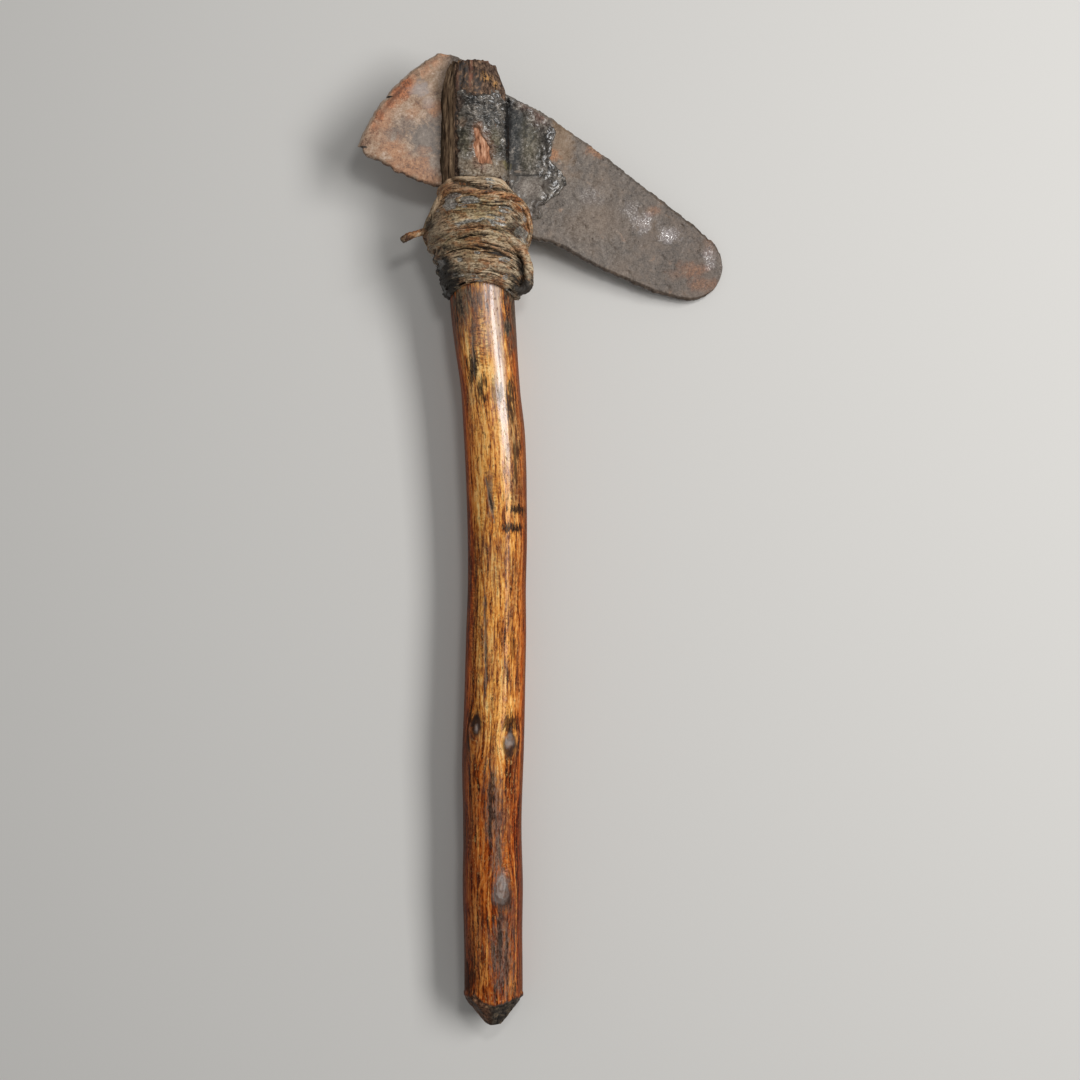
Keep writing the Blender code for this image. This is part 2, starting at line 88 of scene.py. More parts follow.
# Rings of the haft: (from height, to height, step), finest where the wood is chopped or weathered
HAFT_RINGS = [
    (0, 26, 0.6), (26, 70, 2.2), (70, 98, 1.3), (98, 158, 2.4), (158, 188, 1.3), (188, 434, 2.4),
    (434, 500, 6), (500, 560, 1.15), (560, HAFT_TOP, 0.75),
]
TOP_SHARES = (0.95, 0.87, 0.75, 0.6, 0.42, 0.22, 0.0)

# Butt: axe strokes that leave a blunt eight-sided point, each as (direction in degrees, extra reach)
BUTT_STROKES = [
    (12, 0.6), (58, -0.4), (101, 0.5), (150, -0.2), (193, 0.8), (236, -0.3), (283, 0.4), (327, 0.0),
]
BUTT_TIP_REACH = 3.6
BUTT_SLOPE = 0.76
BUTT_TIP_RADIUS = 2.1
BUTT_HEIGHT = 23.5

# Lip above the chopped butt, on the front, as (x, height)
BUTT_LIP = [
    (-17.0, 19.4), (-10.2, 21.6), (-6.0, 18.8), (-2.0, 16.6), (2.0, 16.2), (7.6, 17.0), (11.4, 18.8),
    (18.0, 19.2),
]

# Knots of side twigs: (height, direction in degrees, rise, half length along, half width across)
KNOTS = [
    (170.4, 58, 0.9, 7, 6), (177.6, 129, 0.8, 8, 6), (83.4, 68, 0.9, 10, 6), (262.0, 250, 0.8, 9, 6),
    (398.0, 300, 0.7, 9, 6), (118.0, 205, 0.8, 8, 6),
]

# Flat sides of the head, left by the split: (direction in degrees, reach)
CHEEK_FLATS = [(146, 18.7), (214, 18.9), (26, 20.0)]

# Drying cracks on the front: upper end, lower end, half width at the widest, and where along it that is
CRACKS = [
    ((-3.8, 334.0), (4.2, 298.0), 1.0, 0.7), ((-2.6, 258.0), (-1.6, 196.0), 0.55, 0.45),
    ((5.2, 120.0), (7.0, 92.0), 0.4, 0.5), ((-10.4, 416.0), (-8.6, 384.0), 0.35, 0.5),
]

# Blade: the rails are the lower and upper edges, from the ground end on the left to the rounded end
BLADE_THICKNESS = 6.0
CUTTING_EDGE_THICKNESS = 1.0
RIM_THICKNESS = 2.6
RIM_WIDTH = 1.2
GRIND_SHARE = 0.010
TIP_CENTRE = (119.2, 454.2)
TIP_RADIUS = 20.1
TIP_START = 53.0
TIP_MIDDLE = -22.0
TIP_END = -98.0
TIP_POINTS = 6
UPPER_EDGE = [
    (-31.0, 582.0), (-18.6, 579.4), (-5.0, 569.5), (10.2, 557.4), (31.8, 546.0), (67.8, 520.8),
    (105.0, 492.0), (123.6, 477.6),
]
LOWER_EDGE = [
    (-79.2, 526.8), (-73.8, 520.8), (-65.4, 517.2), (-53.4, 510.0), (-45.0, 506.4), (-30.0, 501.6),
    (-12.0, 492.6), (6.0, 481.0), (24.0, 471.6), (40.8, 466.6), (60.6, 455.6), (92.4, 441.2),
    (105.0, 437.0),
]
CUTTING_EDGE_BULGE = 6.8
BULGE_FADE = 34.0
FLAT_FROM = -40.0
FLAT_TO = 84.0
TIP_THINNING = 1.3
GRIND_REACH = 40.0
GRIND_THINNING = 0.5
BLADE_COLUMNS = 240
BLADE_CORNERS = [0, 0.475, 0.5, 0.975, 1]
BLADE_RIBS = 330

# Slot for the blade in the head
SLOT_FROM = -70.0
SLOT_TO = 60.0
SLOT_UNDER = 0.39
SLOT_HALF = 3.3
SLOT_ABOVE = 20.0
SLOT_COLUMNS = 100
SLOT_ROWS = 90
SLOT_CORNERS = [0, 0.42, 0.5, 0.92, 1]

# Lashing: how thick it lies on the left, right and front of the haft, each as (height, thickness)
GAP = 0.3
WALL_LEFT = [
    (435, 1.6), (448, 4.4), (456, 6.0), (466, 9.8), (475, 10.3), (487, 4.6), (497, 1.2), (504, 1.1),
]
WALL_RIGHT = [
    (435, 2.6), (448, 7.2), (456, 8.3), (466, 8.6), (475, 9.8), (487, 9.0), (497, 5.8), (504, 2.4),
]
WALL_FRONT = [(435, 2.0), (448, 4.4), (462, 6.6), (475, 7.2), (490, 5.6), (504, 2.2)]
THINNEST_WALL = 1.1
LASHING_TOP = 504.0
LASHING_FOOT = 434.5
FOOT_ARCH = 7.6
RIGHT_DROP = 24.0
RIGHT_DROP_REACH = 57.0
LEFT_DROP = 6.5
LEFT_DROP_REACH = 60.0
TURN_PITCH = 6.8
TURN_DEPTH = 0.6
TURN_SLANT = 2.0


def smooth(value, low, high):
    """0 below low, 1 above high and a smooth ramp between; low may be the larger one."""
    t = np.clip((value - low) / (high - low), 0.0, 1.0)
    return t * t * (3 - 2 * t)


def bell(*apart):
    """1 in the middle, falling off with each distance from it, counted in its own reach."""
    return np.exp(-sum(share**2 for share in apart))


def curve(points, at):
    """Values of the smooth curve that goes through (place, value) points, at many places."""
    x, y = np.array(points, float).T
    slope = np.empty_like(y)
    slope[1:-1] = (y[2:] - y[:-2]) / (x[2:] - x[:-2])
    slope[0] = (y[1] - y[0]) / (x[1] - x[0])
    slope[-1] = (y[-1] - y[-2]) / (x[-1] - x[-2])
    at = np.clip(at, x[0], x[-1])
    i = np.clip(np.searchsorted(x, at, side="right") - 1, 0, len(x) - 2)
    width = x[i + 1] - x[i]
    t = (at - x[i]) / width
    rise = (2 * t**3 - 3 * t**2 + 1) * y[i] + (3 * t**2 - 2 * t**3) * y[i + 1]
    return rise + ((t**3 - 2 * t**2 + t) * slope[i] + (t**3 - t**2) * slope[i + 1]) * width


def lumps(points, size, seed=0.0):
    """Smooth uneven relief between about -1 and 1 at each of many points."""
    return np.array([noise.noise(p) for p in (points / np.array(size) + seed).tolist()])


def uneven(points, layers):
    """Relief made of several sizes of lumps, each as (height, size, seed)."""
    return sum(deep * lumps(points, size, seed) for deep, size, seed in layers)


def scattered(points, size, seed=0.0):
    """Distance to the nearest of scattered seeds, as a share of their spacing."""
    return np.array([noise.voronoi(p)[0][0] for p in (points / np.array(size) + seed).tolist()])


def stacked(*columns):
    """Points from their x, y and z, where a single number stands for all."""
    return np.stack(np.broadcast_arrays(*columns), axis=-1).astype(float)


def rolled(turn, height, radius=1.0):
    """Points round the upright line through the origin, by direction, height and radius."""
    return stacked(radius * np.cos(turn), height, radius * np.sin(turn))


def unit(vectors):
    """Vectors of length 1 that point the same way."""
    return vectors / np.linalg.norm(vectors, axis=1)[:, None]


def run_along(points):
    """Distance run along a path at each of its points."""
    return np.concatenate([[0.0], np.cumsum(np.linalg.norm(np.diff(points, axis=0), axis=1))])


def wound(angle):
    """Angle brought into the range from -pi to pi."""
    return np.mod(angle + math.pi, 2 * math.pi) - math.pi


def lay_down(points):
    """Upright millimetres to the row frame in metres, pressed flat where they meet the ground."""
    turned = points @ np.array(REST_TURN).T * MM + np.array(REST_PLACE)
    turned[:, 2] = np.maximum(turned[:, 2], 0.0)
    return turned


def rings_of(spans):
    """Heights from the first span's start to the last one's end, at each span's own step."""
    heights = [spans[0][0]]
    for start, end, step in spans:
        count = round((end - start) / step)
        heights += [start + (end - start) * k / count for k in range(1, count + 1)]
    return heights


# Shapes that the pieces share


def flat_radius(turn, way, reach):
    """Radius at which a flat side lies that faces one way, in degrees, at a reach."""
    return reach / np.maximum(np.cos(turn - math.radians(way)), 0.2)


def butt_reach(turn, height):
    """Radius left by the strokes that point the butt."""
    reach = np.min([flat_radius(turn, way, BUTT_TIP_REACH + extra + BUTT_SLOPE * height)
                    for way, extra in BUTT_STROKES], axis=0)
    return np.where(height > 0, reach, BUTT_TIP_RADIUS)


def knot_apart(turn, height, knot):
    """Distance round the haft and along it from a knot, in millimetres."""
    half = curve(HAFT_HALF_WIDTH, height)
    return wound(turn - math.radians(knot[1])) * half, height - knot[0]


def haft_radius(turn, height):
    half = curve(HAFT_HALF_WIDTH, height)
    radius = half * (1 + sum(share * np.cos(count * turn + twist * height + phase)
                             for count, share, twist, phase in FACETS))
    for knot in KNOTS:
        apart, above = knot_apart(turn, height, knot)
        radius = radius + knot[2] * bell(above / knot[3], apart / knot[4])
    return np.where(height < BUTT_HEIGHT, np.minimum(radius, butt_reach(turn, height)), radius)


def around_haft(turn, height, radius):
    """Points at a radius from the bowed centre line of the haft."""
    depth = 1 + DEEPER_SHARE * np.maximum(0.0, height - DEEPER_FROM) / (HAFT_TOP - DEEPER_FROM)
    x = curve(HAFT_CENTRE, height) + radius * np.cos(turn)
    z = curve(HAFT_BOW, height) + radius * np.sin(turn) * depth
    return stacked(x, height, z)


def lashing_top(turn):
    right = np.maximum(0.0, 1 - np.degrees(np.abs(wound(turn))) / RIGHT_DROP_REACH)
    left = np.maximum(0.0, 1 - np.degrees(np.abs(wound(turn - math.pi))) / LEFT_DROP_REACH)
    return LASHING_TOP - RIGHT_DROP * right**1.8 - LEFT_DROP * left**1.5


def lashing_foot(turn):
    return LASHING_FOOT + FOOT_ARCH * np.sin(turn) ** 2


def lashing_height(turn, share):
    foot = lashing_foot(turn)
    return foot + (lashing_top(turn) - foot) * share


def lashing_radius(turn, height):
    """Radius of the wound lashing without its strands."""
    side = np.cos(turn)
    wall_side = np.where(side > 0, curve(WALL_RIGHT, height), curve(WALL_LEFT, height))
    wall = wall_side * side**2 + curve(WALL_FRONT, height) * (1 - side**2)
    wall = wall + TURN_DEPTH * np.cos(2 * math.pi * (height + TURN_SLANT * side) / TURN_PITCH)
    return haft_radius(turn, height) + GAP + np.maximum(wall, THINNEST_WALL)


def dense_path(points, steps=12):
    """Fine points of the smooth path through a few points, and the share of its length at each."""
    points = [np.array(p, float) for p in points]
    dense = []
    for i in range(len(points) - 1):
        before, start, end = points[max(i - 1, 0)], points[i], points[i + 1]
        after = points[min(i + 2, len(points) - 1)]
        for k in range(steps):
            t = k / steps
            dense.append(0.5 * (2 * start + (end - before) * t
                                + (2 * before - 5 * start + 4 * end - after) * t**2
                                + (3 * start - before - 3 * end + after) * t**3))
    dense.append(points[-1])
    dense = np.array(dense)
    lengths = run_along(dense)
    return dense, lengths / lengths[-1]


def read_path(path, share):
    dense, shares = path
    return np.stack([np.interp(share, shares, column) for column in dense.T], axis=-1)


def arc(centre, radius, start, end, count):
    turn = np.radians(np.linspace(start, end, count))
    return list(zip(centre[0] + radius * np.cos(turn), centre[1] + radius * np.sin(turn)))


def blade_rails():
    """Lower and upper edges of the blade, from the ground end to the middle of the rounded end."""
    upper = UPPER_EDGE + arc(TIP_CENTRE, TIP_RADIUS, TIP_START, TIP_MIDDLE, TIP_POINTS)
    lower = LOWER_EDGE + arc(TIP_CENTRE, TIP_RADIUS, TIP_END, TIP_MIDDLE, TIP_POINTS)
    return dense_path(lower), dense_path(upper)


# Making pieces


def outward_volume(mesh):
    """Signed volume inside a closed mesh, which is positive when its faces point outwards."""
    mesh.calc_loop_triangles()
    corners = np.empty(len(mesh.loop_triangles) * 3, np.int32)
    mesh.loop_triangles.foreach_get("vertices", corners)
    places = np.empty(len(mesh.vertices) * 3)
    mesh.vertices.foreach_get("co", places)
    a, b, c = places.reshape(-1, 3)[corners.reshape(-1, 3)].transpose(1, 0, 2)
    return float(np.einsum("ij,ij->i", a, np.cross(b, c)).sum() / 6)


def edit(*steps):
    """Run edit-mode steps on everything in the active piece."""
    bpy.ops.object.mode_set(mode="EDIT")
    bpy.ops.mesh.select_all(action="SELECT")
    for step in steps:
        step()
    bpy.ops.object.mode_set(mode="OBJECT")


def wrapped(name, columns, rows, surface):
    """A fine grid laid on a closed shape, its seam and its poles merged.

    surface takes the column and the row of each point as shares from 0 to 1 and gives the points, upright
    in millimetres, and the marks that the finish reads, as {name: numbers}.
    """
    bpy.ops.object.select_all(action="DESELECT")
    bpy.ops.mesh.primitive_grid_add(x_subdivisions=columns, y_subdivisions=rows, size=1)
    piece = bpy.context.active_object
    piece.name = name
    mesh = piece.data
    mesh.name = name
    flat = np.empty(len(mesh.vertices) * 3)
    mesh.vertices.foreach_get("co", flat)
    flat = flat.reshape(-1, 3)
    points, marks = surface(flat[:, 0] + 0.5, flat[:, 1] + 0.5)
    for mark, values in marks.items():
        kind, field = ("FLOAT_VECTOR", "vector") if values.ndim == 2 else ("FLOAT", "value")
        layer = mesh.attributes.new(mark, kind, "POINT")
        layer.data.foreach_set(field, values.astype(np.float32).ravel())
    mesh.vertices.foreach_set("co", lay_down(points).astype(np.float32).ravel())
    edit(lambda: bpy.ops.mesh.remove_doubles(threshold=MERGE),
         lambda: bpy.ops.mesh.dissolve_degenerate(threshold=MERGE),
         lambda: bpy.ops.mesh.normals_make_consistent(inside=False))
    if outward_volume(mesh) < 0:
        edit(bpy.ops.mesh.flip_normals)
    bpy.ops.object.shade_smooth()
    return piece


def hang(piece, finish, slot, *replaced):
    """Give a finished piece its material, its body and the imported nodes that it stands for."""
    piece.data.materials.clear()
    piece.data.materials.append(finish)
    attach(piece, "root")
    if replaced:
        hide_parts(*replaced)


def cut(piece, cutter):
    """Cut one piece by another, and throw the cutter away."""
    bpy.ops.object.select_all(action="DESELECT")
    piece.select_set(True)
    bpy.context.view_layer.objects.active = piece
    change = piece.modifiers.new("cut", "BOOLEAN")
    change.object = cutter
    bpy.ops.object.modifier_apply(modifier=change.name)
    bpy.data.objects.remove(cutter)


def joined(name, pieces):
    """Several pieces made one."""
    bpy.ops.object.select_all(action="DESELECT")
    for piece in pieces:
        piece.select_set(True)
    bpy.context.view_layer.objects.active = pieces[0]
    bpy.ops.object.join()
    pieces[0].name = name
    pieces[0].data.name = name
    return pieces[0]


# Where the finishes change on the front, upright: (x, height, half width, half height, strength). A patch
# fades out round its edge, counted in its half width, and reaches through the piece.
PATCH_EDGE = 0.93
PATCH_REACH = 36.0
WOOD_TICKS = [(-5.4, 410.0, 6.0, 24.0, 1.0), (-11.0, 250.0, 5.0, 40.0, 0.7), (2.0, 320.0, 6.0, 16.0, 0.6)]
WOOD_GOLD = [
    (-3.0, 352.0, 11.0, 44.0, 0.5), (10.4, 302.0, 1.5, 32.0, 0.9), (10.0, 236.0, 1.4, 40.0, 0.6),
    (6.4, 194.0, 3.0, 16.0, 0.9), (4.6, 172.0, 4.0, 9.0, 0.6), (15.4, 174.0, 1.3, 10.0, 0.8),
    (-3.0, 240.0, 8.0, 26.0, 0.3), (-9.0, 60.0, 2.4, 24.0, 0.5), (-4.0, 34.0, 2.6, 12.0, 0.8),
    (13.5, 26.0, 3.0, 5.0, 0.8), (6.0, 153.5, 1.2, 2.0, 1.0), (-11.5, 140.0, 4.0, 26.0, 0.4),
]
WOOD_TAR = [
    (-17.5, 433.0, 6.0, 11.0, 1.0), (11.6, 437.0, 5.0, 7.0, 0.9), (-19.5, 420.0, 3.4, 18.0, 0.7),
    (14.6, 424.0, 3.6, 18.0, 0.7), (10.4, 416.5, 2.2, 6.0, 0.9),
]
# Painted highlight: a pale line down the front where the light glints on the haft, from the top down as (x,
# height)
WOOD_PAINTED_HIGHLIGHT = [
    (3.4, 446.0), (4.1, 421.0), (4.9, 408.0), (6.6, 392.0), (7.4, 373.0), (8.8, 357.6), (9.9, 340.0),
    (11.2, 318.0),
]
# Bright lines of grain on the front: (x, height) points from the top down, and half width
WOOD_VEINS = [
    ([(4.2, 104.0), (1.8, 97.0), (0.0, 91.0), (-0.6, 80.0), (0.0, 66.0), (-1.2, 48.0), (-1.0, 24.0)], 0.9),
    ([(13.8, 109.0), (15.6, 92.0), (16.2, 74.0), (15.6, 56.0), (15.4, 22.0)], 0.8),
    ([(-7.0, 132.0), (-6.4, 108.0), (-4.6, 98.0), (-6.0, 84.0), (-7.0, 60.0)], 0.7),
    ([(7.2, 140.0), (7.0, 108.0), (8.4, 96.0)], 0.6), ([(-13.0, 150.0), (-12.2, 100.0), (-12.6, 60.0)], 0.5),
    ([(6.0, 160.0), (9.0, 157.6), (14.0, 156.0), (16.0, 162.0), (16.2, 182.0)], 0.7),
    ([(11.0, 330.0), (10.6, 300.0), (9.6, 240.0), (8.0, 200.0), (4.0, 160.0)], 0.7),
]
WOOD_GREY = [
    (4.0, 378.0, 3.0, 9.0, 0.8), (-14.0, 424.0, 7.0, 14.0, 0.6), (3.5, 278.0, 8.0, 14.0, 0.35),
    (3.0, 130.0, 5.0, 26.0, 0.95), (5.0, 108.0, 4.0, 16.0, 0.9), (8.0, 50.0, 6.6, 30.0, 0.95),
    (-15.0, 40.0, 4.0, 18.0, 0.5), (-13.0, 160.0, 3.0, 12.0, 0.4), (-9.6, 402.0, 1.8, 22.0, 0.8),
    (0.6, 318.0, 1.6, 16.0, 0.9), (-2.4, 226.0, 1.2, 34.0, 0.8), (-9.0, 432.0, 7.0, 8.0, 0.9),
]
WOOD_MAROON = [
    (16.0, 322.0, 5.5, 14.0, 0.8), (13.6, 274.0, 2.6, 9.0, 0.7), (14.8, 350.0, 4.6, 34.0, 0.75),
    (9.0, 128.0, 4.0, 16.0, 0.6), (12.0, 78.0, 3.0, 20.0, 0.6), (-12.0, 96.0, 5.0, 60.0, 0.4),
    (-15.0, 330.0, 3.0, 60.0, 0.3), (12.8, 420.0, 4.8, 24.0, 1.0), (8.0, 68.0, 2.2, 5.0, 0.5),
]
WOOD_BLACK = [
    (-9.6, 391.0, 3.2, 8.0, 1.0), (-4.8, 379.5, 3.0, 7.5, 0.9), (12.2, 375.0, 2.8, 12.0, 0.9),
    (17.0, 308.5, 5.0, 2.6, 1.0), (13.5, 297.5, 5.5, 2.8, 1.0), (12.6, 181.0, 3.8, 6.4, 0.9),
    (-10.4, 184.0, 3.2, 5.6, 0.8), (-14.0, 258.0, 2.0, 9.0, 0.7), (16.4, 345.0, 2.0, 8.0, 0.8),
    (-12.5, 31.0, 5.0, 11.0, 0.8), (-19.0, 430.0, 3.0, 9.0, 0.8), (9.6, 437.0, 2.6, 6.0, 0.8),
    (6.0, 52.0, 1.6, 14.0, 0.7), (10.4, 40.0, 1.3, 12.0, 0.6), (10.6, 415.5, 1.8, 5.0, 1.0),
    (1.2, 134.0, 1.6, 20.0, 0.8), (7.0, 377.0, 1.8, 5.0, 0.8), (-13.6, 170.0, 1.6, 12.0, 0.6),
    (14.6, 432.0, 2.4, 9.0, 0.8), (9.4, 333.0, 1.2, 6.0, 0.5), (-12.8, 300.0, 1.2, 14.0, 0.5),
    (14.0, 228.0, 1.4, 8.0, 0.5), (10.0, 214.0, 1.3, 6.0, 0.5),
    (13.8, 366.0, 1.5, 9.0, 0.8), (15.4, 340.0, 1.6, 15.0, 0.8),
]
# Knots on the front: (x, height, half width, half height), where the rings start, how far they are pale,
# and how clear the rings are
# The pale part of each knot is partly its own grey and partly a painted highlight
KNOT_EYES = [
    (12.0, 169.0, 4.4, 7.6, 11.8, 172.2, 0.85, 0.08), (-7.4, 181.4, 2.8, 6.8, -7.7, 179.6, 0.55, 0.08),
    (7.6, 82.0, 5.6, 11.6, 7.0, 86.0, 1.25, 0.35),
]
HEAD_BLUE = [(-15.0, 562.0, 3.0, 8.0, 0.8), (-7.0, 557.0, 2.2, 7.0, 0.6), (-18.0, 540.0, 2.4, 8.0, 0.5)]
HEAD_PINK = [
    (-10.4, 571.0, 0.9, 4.0, 0.7), (-10.8, 561.5, 1.1, 4.4, 0.9), (-0.8, 574.0, 3.0, 1.4, 0.7),
    (-18.6, 563.0, 0.8, 6.0, 0.5), (-16.0, 575.0, 2.4, 1.6, 0.6), (6.4, 572.0, 1.0, 2.0, 0.6),
]
HEAD_BARE = [(-5.4, 523.0, 8.5, 17.0, 1.0)]
# Painted shadow in the crevice where the front cheek meets the blade gum
HEAD_PAINTED_CREVICE_SHADOW = [(11.4, 530.0, 3.0, 36.0, 1.0)]
HEAD_GOLD = [(-1.0, 562.5, 4.4, 3.0, 0.8), (3.6, 560.0, 2.4, 3.4, 0.8), (-19.0, 573.0, 2.0, 2.0, 0.4)]
IRON_TAN = [
    (43.0, 528.0, 6.0, 15.0, 0.8), (34.0, 508.0, 16.0, 5.0, 0.4), (-33.0, 566.0, 9.0, 9.0, 1.0),
    (62.0, 480.0, 16.0, 10.0, 0.2), (-30.0, 555.0, 5.0, 8.0, 0.7),
]
IRON_BLUE = [
    (-38.0, 530.0, 12.0, 13.0, 1.0), (-44.0, 561.0, 7.0, 5.0, 0.7), (-58.0, 532.0, 7.0, 6.0, 0.7),
    (-33.0, 545.0, 6.0, 10.0, 0.8), (-34.0, 516.0, 8.0, 6.0, 0.8), (-50.0, 540.0, 8.0, 5.0, 0.6),
]
IRON_RUST = [
    (-48.0, 563.0, 4.0, 5.0, 1.0), (-56.0, 553.0, 5.0, 4.0, 0.9), (-63.0, 541.0, 4.0, 6.0, 0.8),
    (-47.0, 514.0, 14.0, 6.0, 0.8), (-58.0, 524.0, 9.0, 6.0, 0.9), (-33.0, 549.0, 5.0, 6.0, 0.9),
    (-36.0, 505.0, 10.0, 4.0, 0.7), (-46.0, 546.0, 5.0, 4.0, 0.6), (37.5, 520.0, 4.0, 3.4, 1.0),
    (-64.0, 531.0, 5.0, 4.0, 0.5), (-40.0, 523.0, 4.0, 3.0, 0.5),
    (63.0, 523.0, 6.0, 3.4, 0.7), (122.0, 452.0, 8.0, 4.0, 0.7), (127.0, 443.0, 8.0, 5.0, 0.6),
    (98.0, 487.0, 5.0, 3.0, 0.5), (112.0, 449.0, 6.0, 3.0, 0.3), (132.0, 466.0, 4.0, 6.0, 0.3),
]
IRON_FIERY = [
    (-49.5, 564.0, 4.4, 4.4, 1.0), (-53.0, 557.5, 5.0, 4.4, 0.9), (-60.0, 551.0, 4.0, 3.0, 0.7),
    (-66.0, 544.5, 3.4, 3.6, 0.7), (-69.5, 538.0, 2.4, 4.0, 0.5),
]
# Painted glints on the right arm: a pale sheen with pale specks, where the iron is also glossier
IRON_PAINTED_GLINT_AND_GLOSS = [
    (92.0, 481.0, 6.0, 5.0, 0.9), (107.0, 473.0, 5.6, 3.4, 1.0), (131.5, 460.0, 3.0, 6.0, 0.8),
    (84.0, 488.0, 5.0, 4.0, 0.35), (61.0, 497.0, 6.0, 5.0, 0.25),
]
IRON_LILAC = [(-41.0, 560.0, 6.0, 4.4, 1.0), (-36.0, 553.0, 4.0, 4.0, 0.7)]
IRON_BLACK = [(-60.4, 555.8, 2.6, 0.6, 1.0), (-76.0, 525.6, 3.0, 0.8, 0.9)]
GUM_BLUE = [
    (16.0, 534.0, 6.0, 22.0, 1.0), (15.0, 511.0, 3.4, 10.0, 1.0), (-2.0, 540.0, 9.0, 8.0, 0.6),
    (8.0, 518.0, 3.0, 10.0, 0.6),
]
GUM_OLIVE = [
    (24.0, 526.0, 6.0, 18.0, 1.0), (-14.0, 522.0, 4.0, 10.0, 1.0), (3.5, 526.0, 4.0, 8.0, 1.0),
    (-18.0, 534.0, 4.0, 12.0, 0.6),
]
GUM_DUST = [(-4.0, 509.5, 17.0, 7.5, 1.0), (-16.0, 536.0, 2.6, 2.6, 0.7), (-20.0, 512.0, 6.0, 8.0, 0.7)]
GUM_MAUVE = [(24.0, 500.5, 10.0, 8.0, 0.9), (25.0, 488.0, 7.0, 6.0, 0.7)]
# First row: painted shadow in the crevice beside the cheek; the other rows: black cracks in the gum
GUM_CRACKS_AND_CREVICE_SHADOW = [(11.0, 534.0, 2.3, 27.0, 1.0), (26.0, 508.4, 13.0, 0.8, 0.7), (14.0, 512.0, 2.0, 4.0, 0.6)]
GUM_WOOD = [(-6.2, 530.0, 3.4, 7.0, 0.9), (-4.2, 520.0, 6.4, 11.0, 0.9)]
GUM_STAIN = [(-19.0, 547.0, 3.4, 5.0, 0.7), (-16.0, 536.0, 3.0, 3.0, 0.6)]
GUM_MATTE = [(16.0, 530.0, 8.0, 28.0, 1.0), (23.0, 504.0, 7.0, 12.0, 1.0)]
GUM_GLOSSY = [(29.7, 498.3, 5.0, 3.2, 0.9), (29.0, 484.0, 4.0, 3.0, 0.8)]
GUM_YELLOW = [(10.6, 513.6, 2.2, 2.6, 0.45)]
GUM_PURPLE = [(31.0, 544.0, 7.0, 7.0, 1.0), (22.0, 550.0, 7.0, 4.0, 0.7)]
FIBRE_GREASE = [
    (-27.0, 440.0, 12.0, 20.0, 1.0), (21.0, 439.0, 9.0, 7.5, 1.0), (18.4, 452.0, 2.4, 8.0, 0.9),
    (16.0, 474.0, 5.0, 8.0, 0.7), (-53.0, 470.0, 7.0, 5.0, 0.8), (-36.0, 476.5, 4.0, 5.0, 0.7),
    (-14.0, 446.0, 8.0, 3.0, 0.5),
]
FIBRE_ORANGE = [
    (-24.0, 496.0, 10.0, 9.0, 0.9), (-4.0, 493.6, 11.0, 2.6, 1.0), (9.0, 492.6, 8.0, 2.8, 1.0),
    (17.5, 488.6, 4.4, 4.6, 1.0), (22.6, 480.0, 3.2, 8.0, 1.0), (-48.0, 473.0, 11.0, 6.0, 1.0),
    (-5.0, 461.0, 14.0, 6.0, 0.6), (-28.0, 488.0, 5.0, 14.0, 0.5), (-4.0, 441.0, 12.0, 3.0, 0.8),
    (2.0, 454.0, 10.0, 3.0, 0.6), (-12.0, 472.5, 12.0, 2.4, 0.8), (20.0, 460.0, 4.0, 4.0, 0.5),
]
FIBRE_OLIVE = [(-8.0, 484.0, 16.0, 8.0, 0.9), (-12.0, 462.0, 16.0, 10.0, 0.8), (6.0, 470.0, 10.0, 8.0, 0.5)]
# Paler threads; the last row, on the shaded left leg, is painted light
FIBRE_PALE_AND_PAINTED_LIGHT = [
    (-4.0, 502.0, 24.0, 7.0, 1.0), (-20.0, 456.0, 9.0, 7.0, 0.7), (8.0, 463.0, 8.0, 4.0, 0.5),
    (-32.0, 480.0, 5.0, 16.0, 0.9),
]


# Finishes


class Value:
    """One socket of a finish's nodes. Arithmetic on it adds Math nodes."""

    def __init__(self, finish, socket):
        self.finish = finish
        self.socket = socket

    def math(self, operation, *values):
        inputs = dict(enumerate(values))
        return self.finish.node("ShaderNodeMath", {"operation": operation}, inputs)

    def __add__(self, other):
        return self.math("ADD", self, other)

    def __sub__(self, other):
        return self.math("SUBTRACT", self, other)

    def __rsub__(self, other):
        return self.math("SUBTRACT", other, self)

    def __mul__(self, other):
        return self.math("MULTIPLY", self, other)

    def most(self, other):
        return self.math("MAXIMUM", self, other)

    __radd__ = __add__
    __rmul__ = __mul__


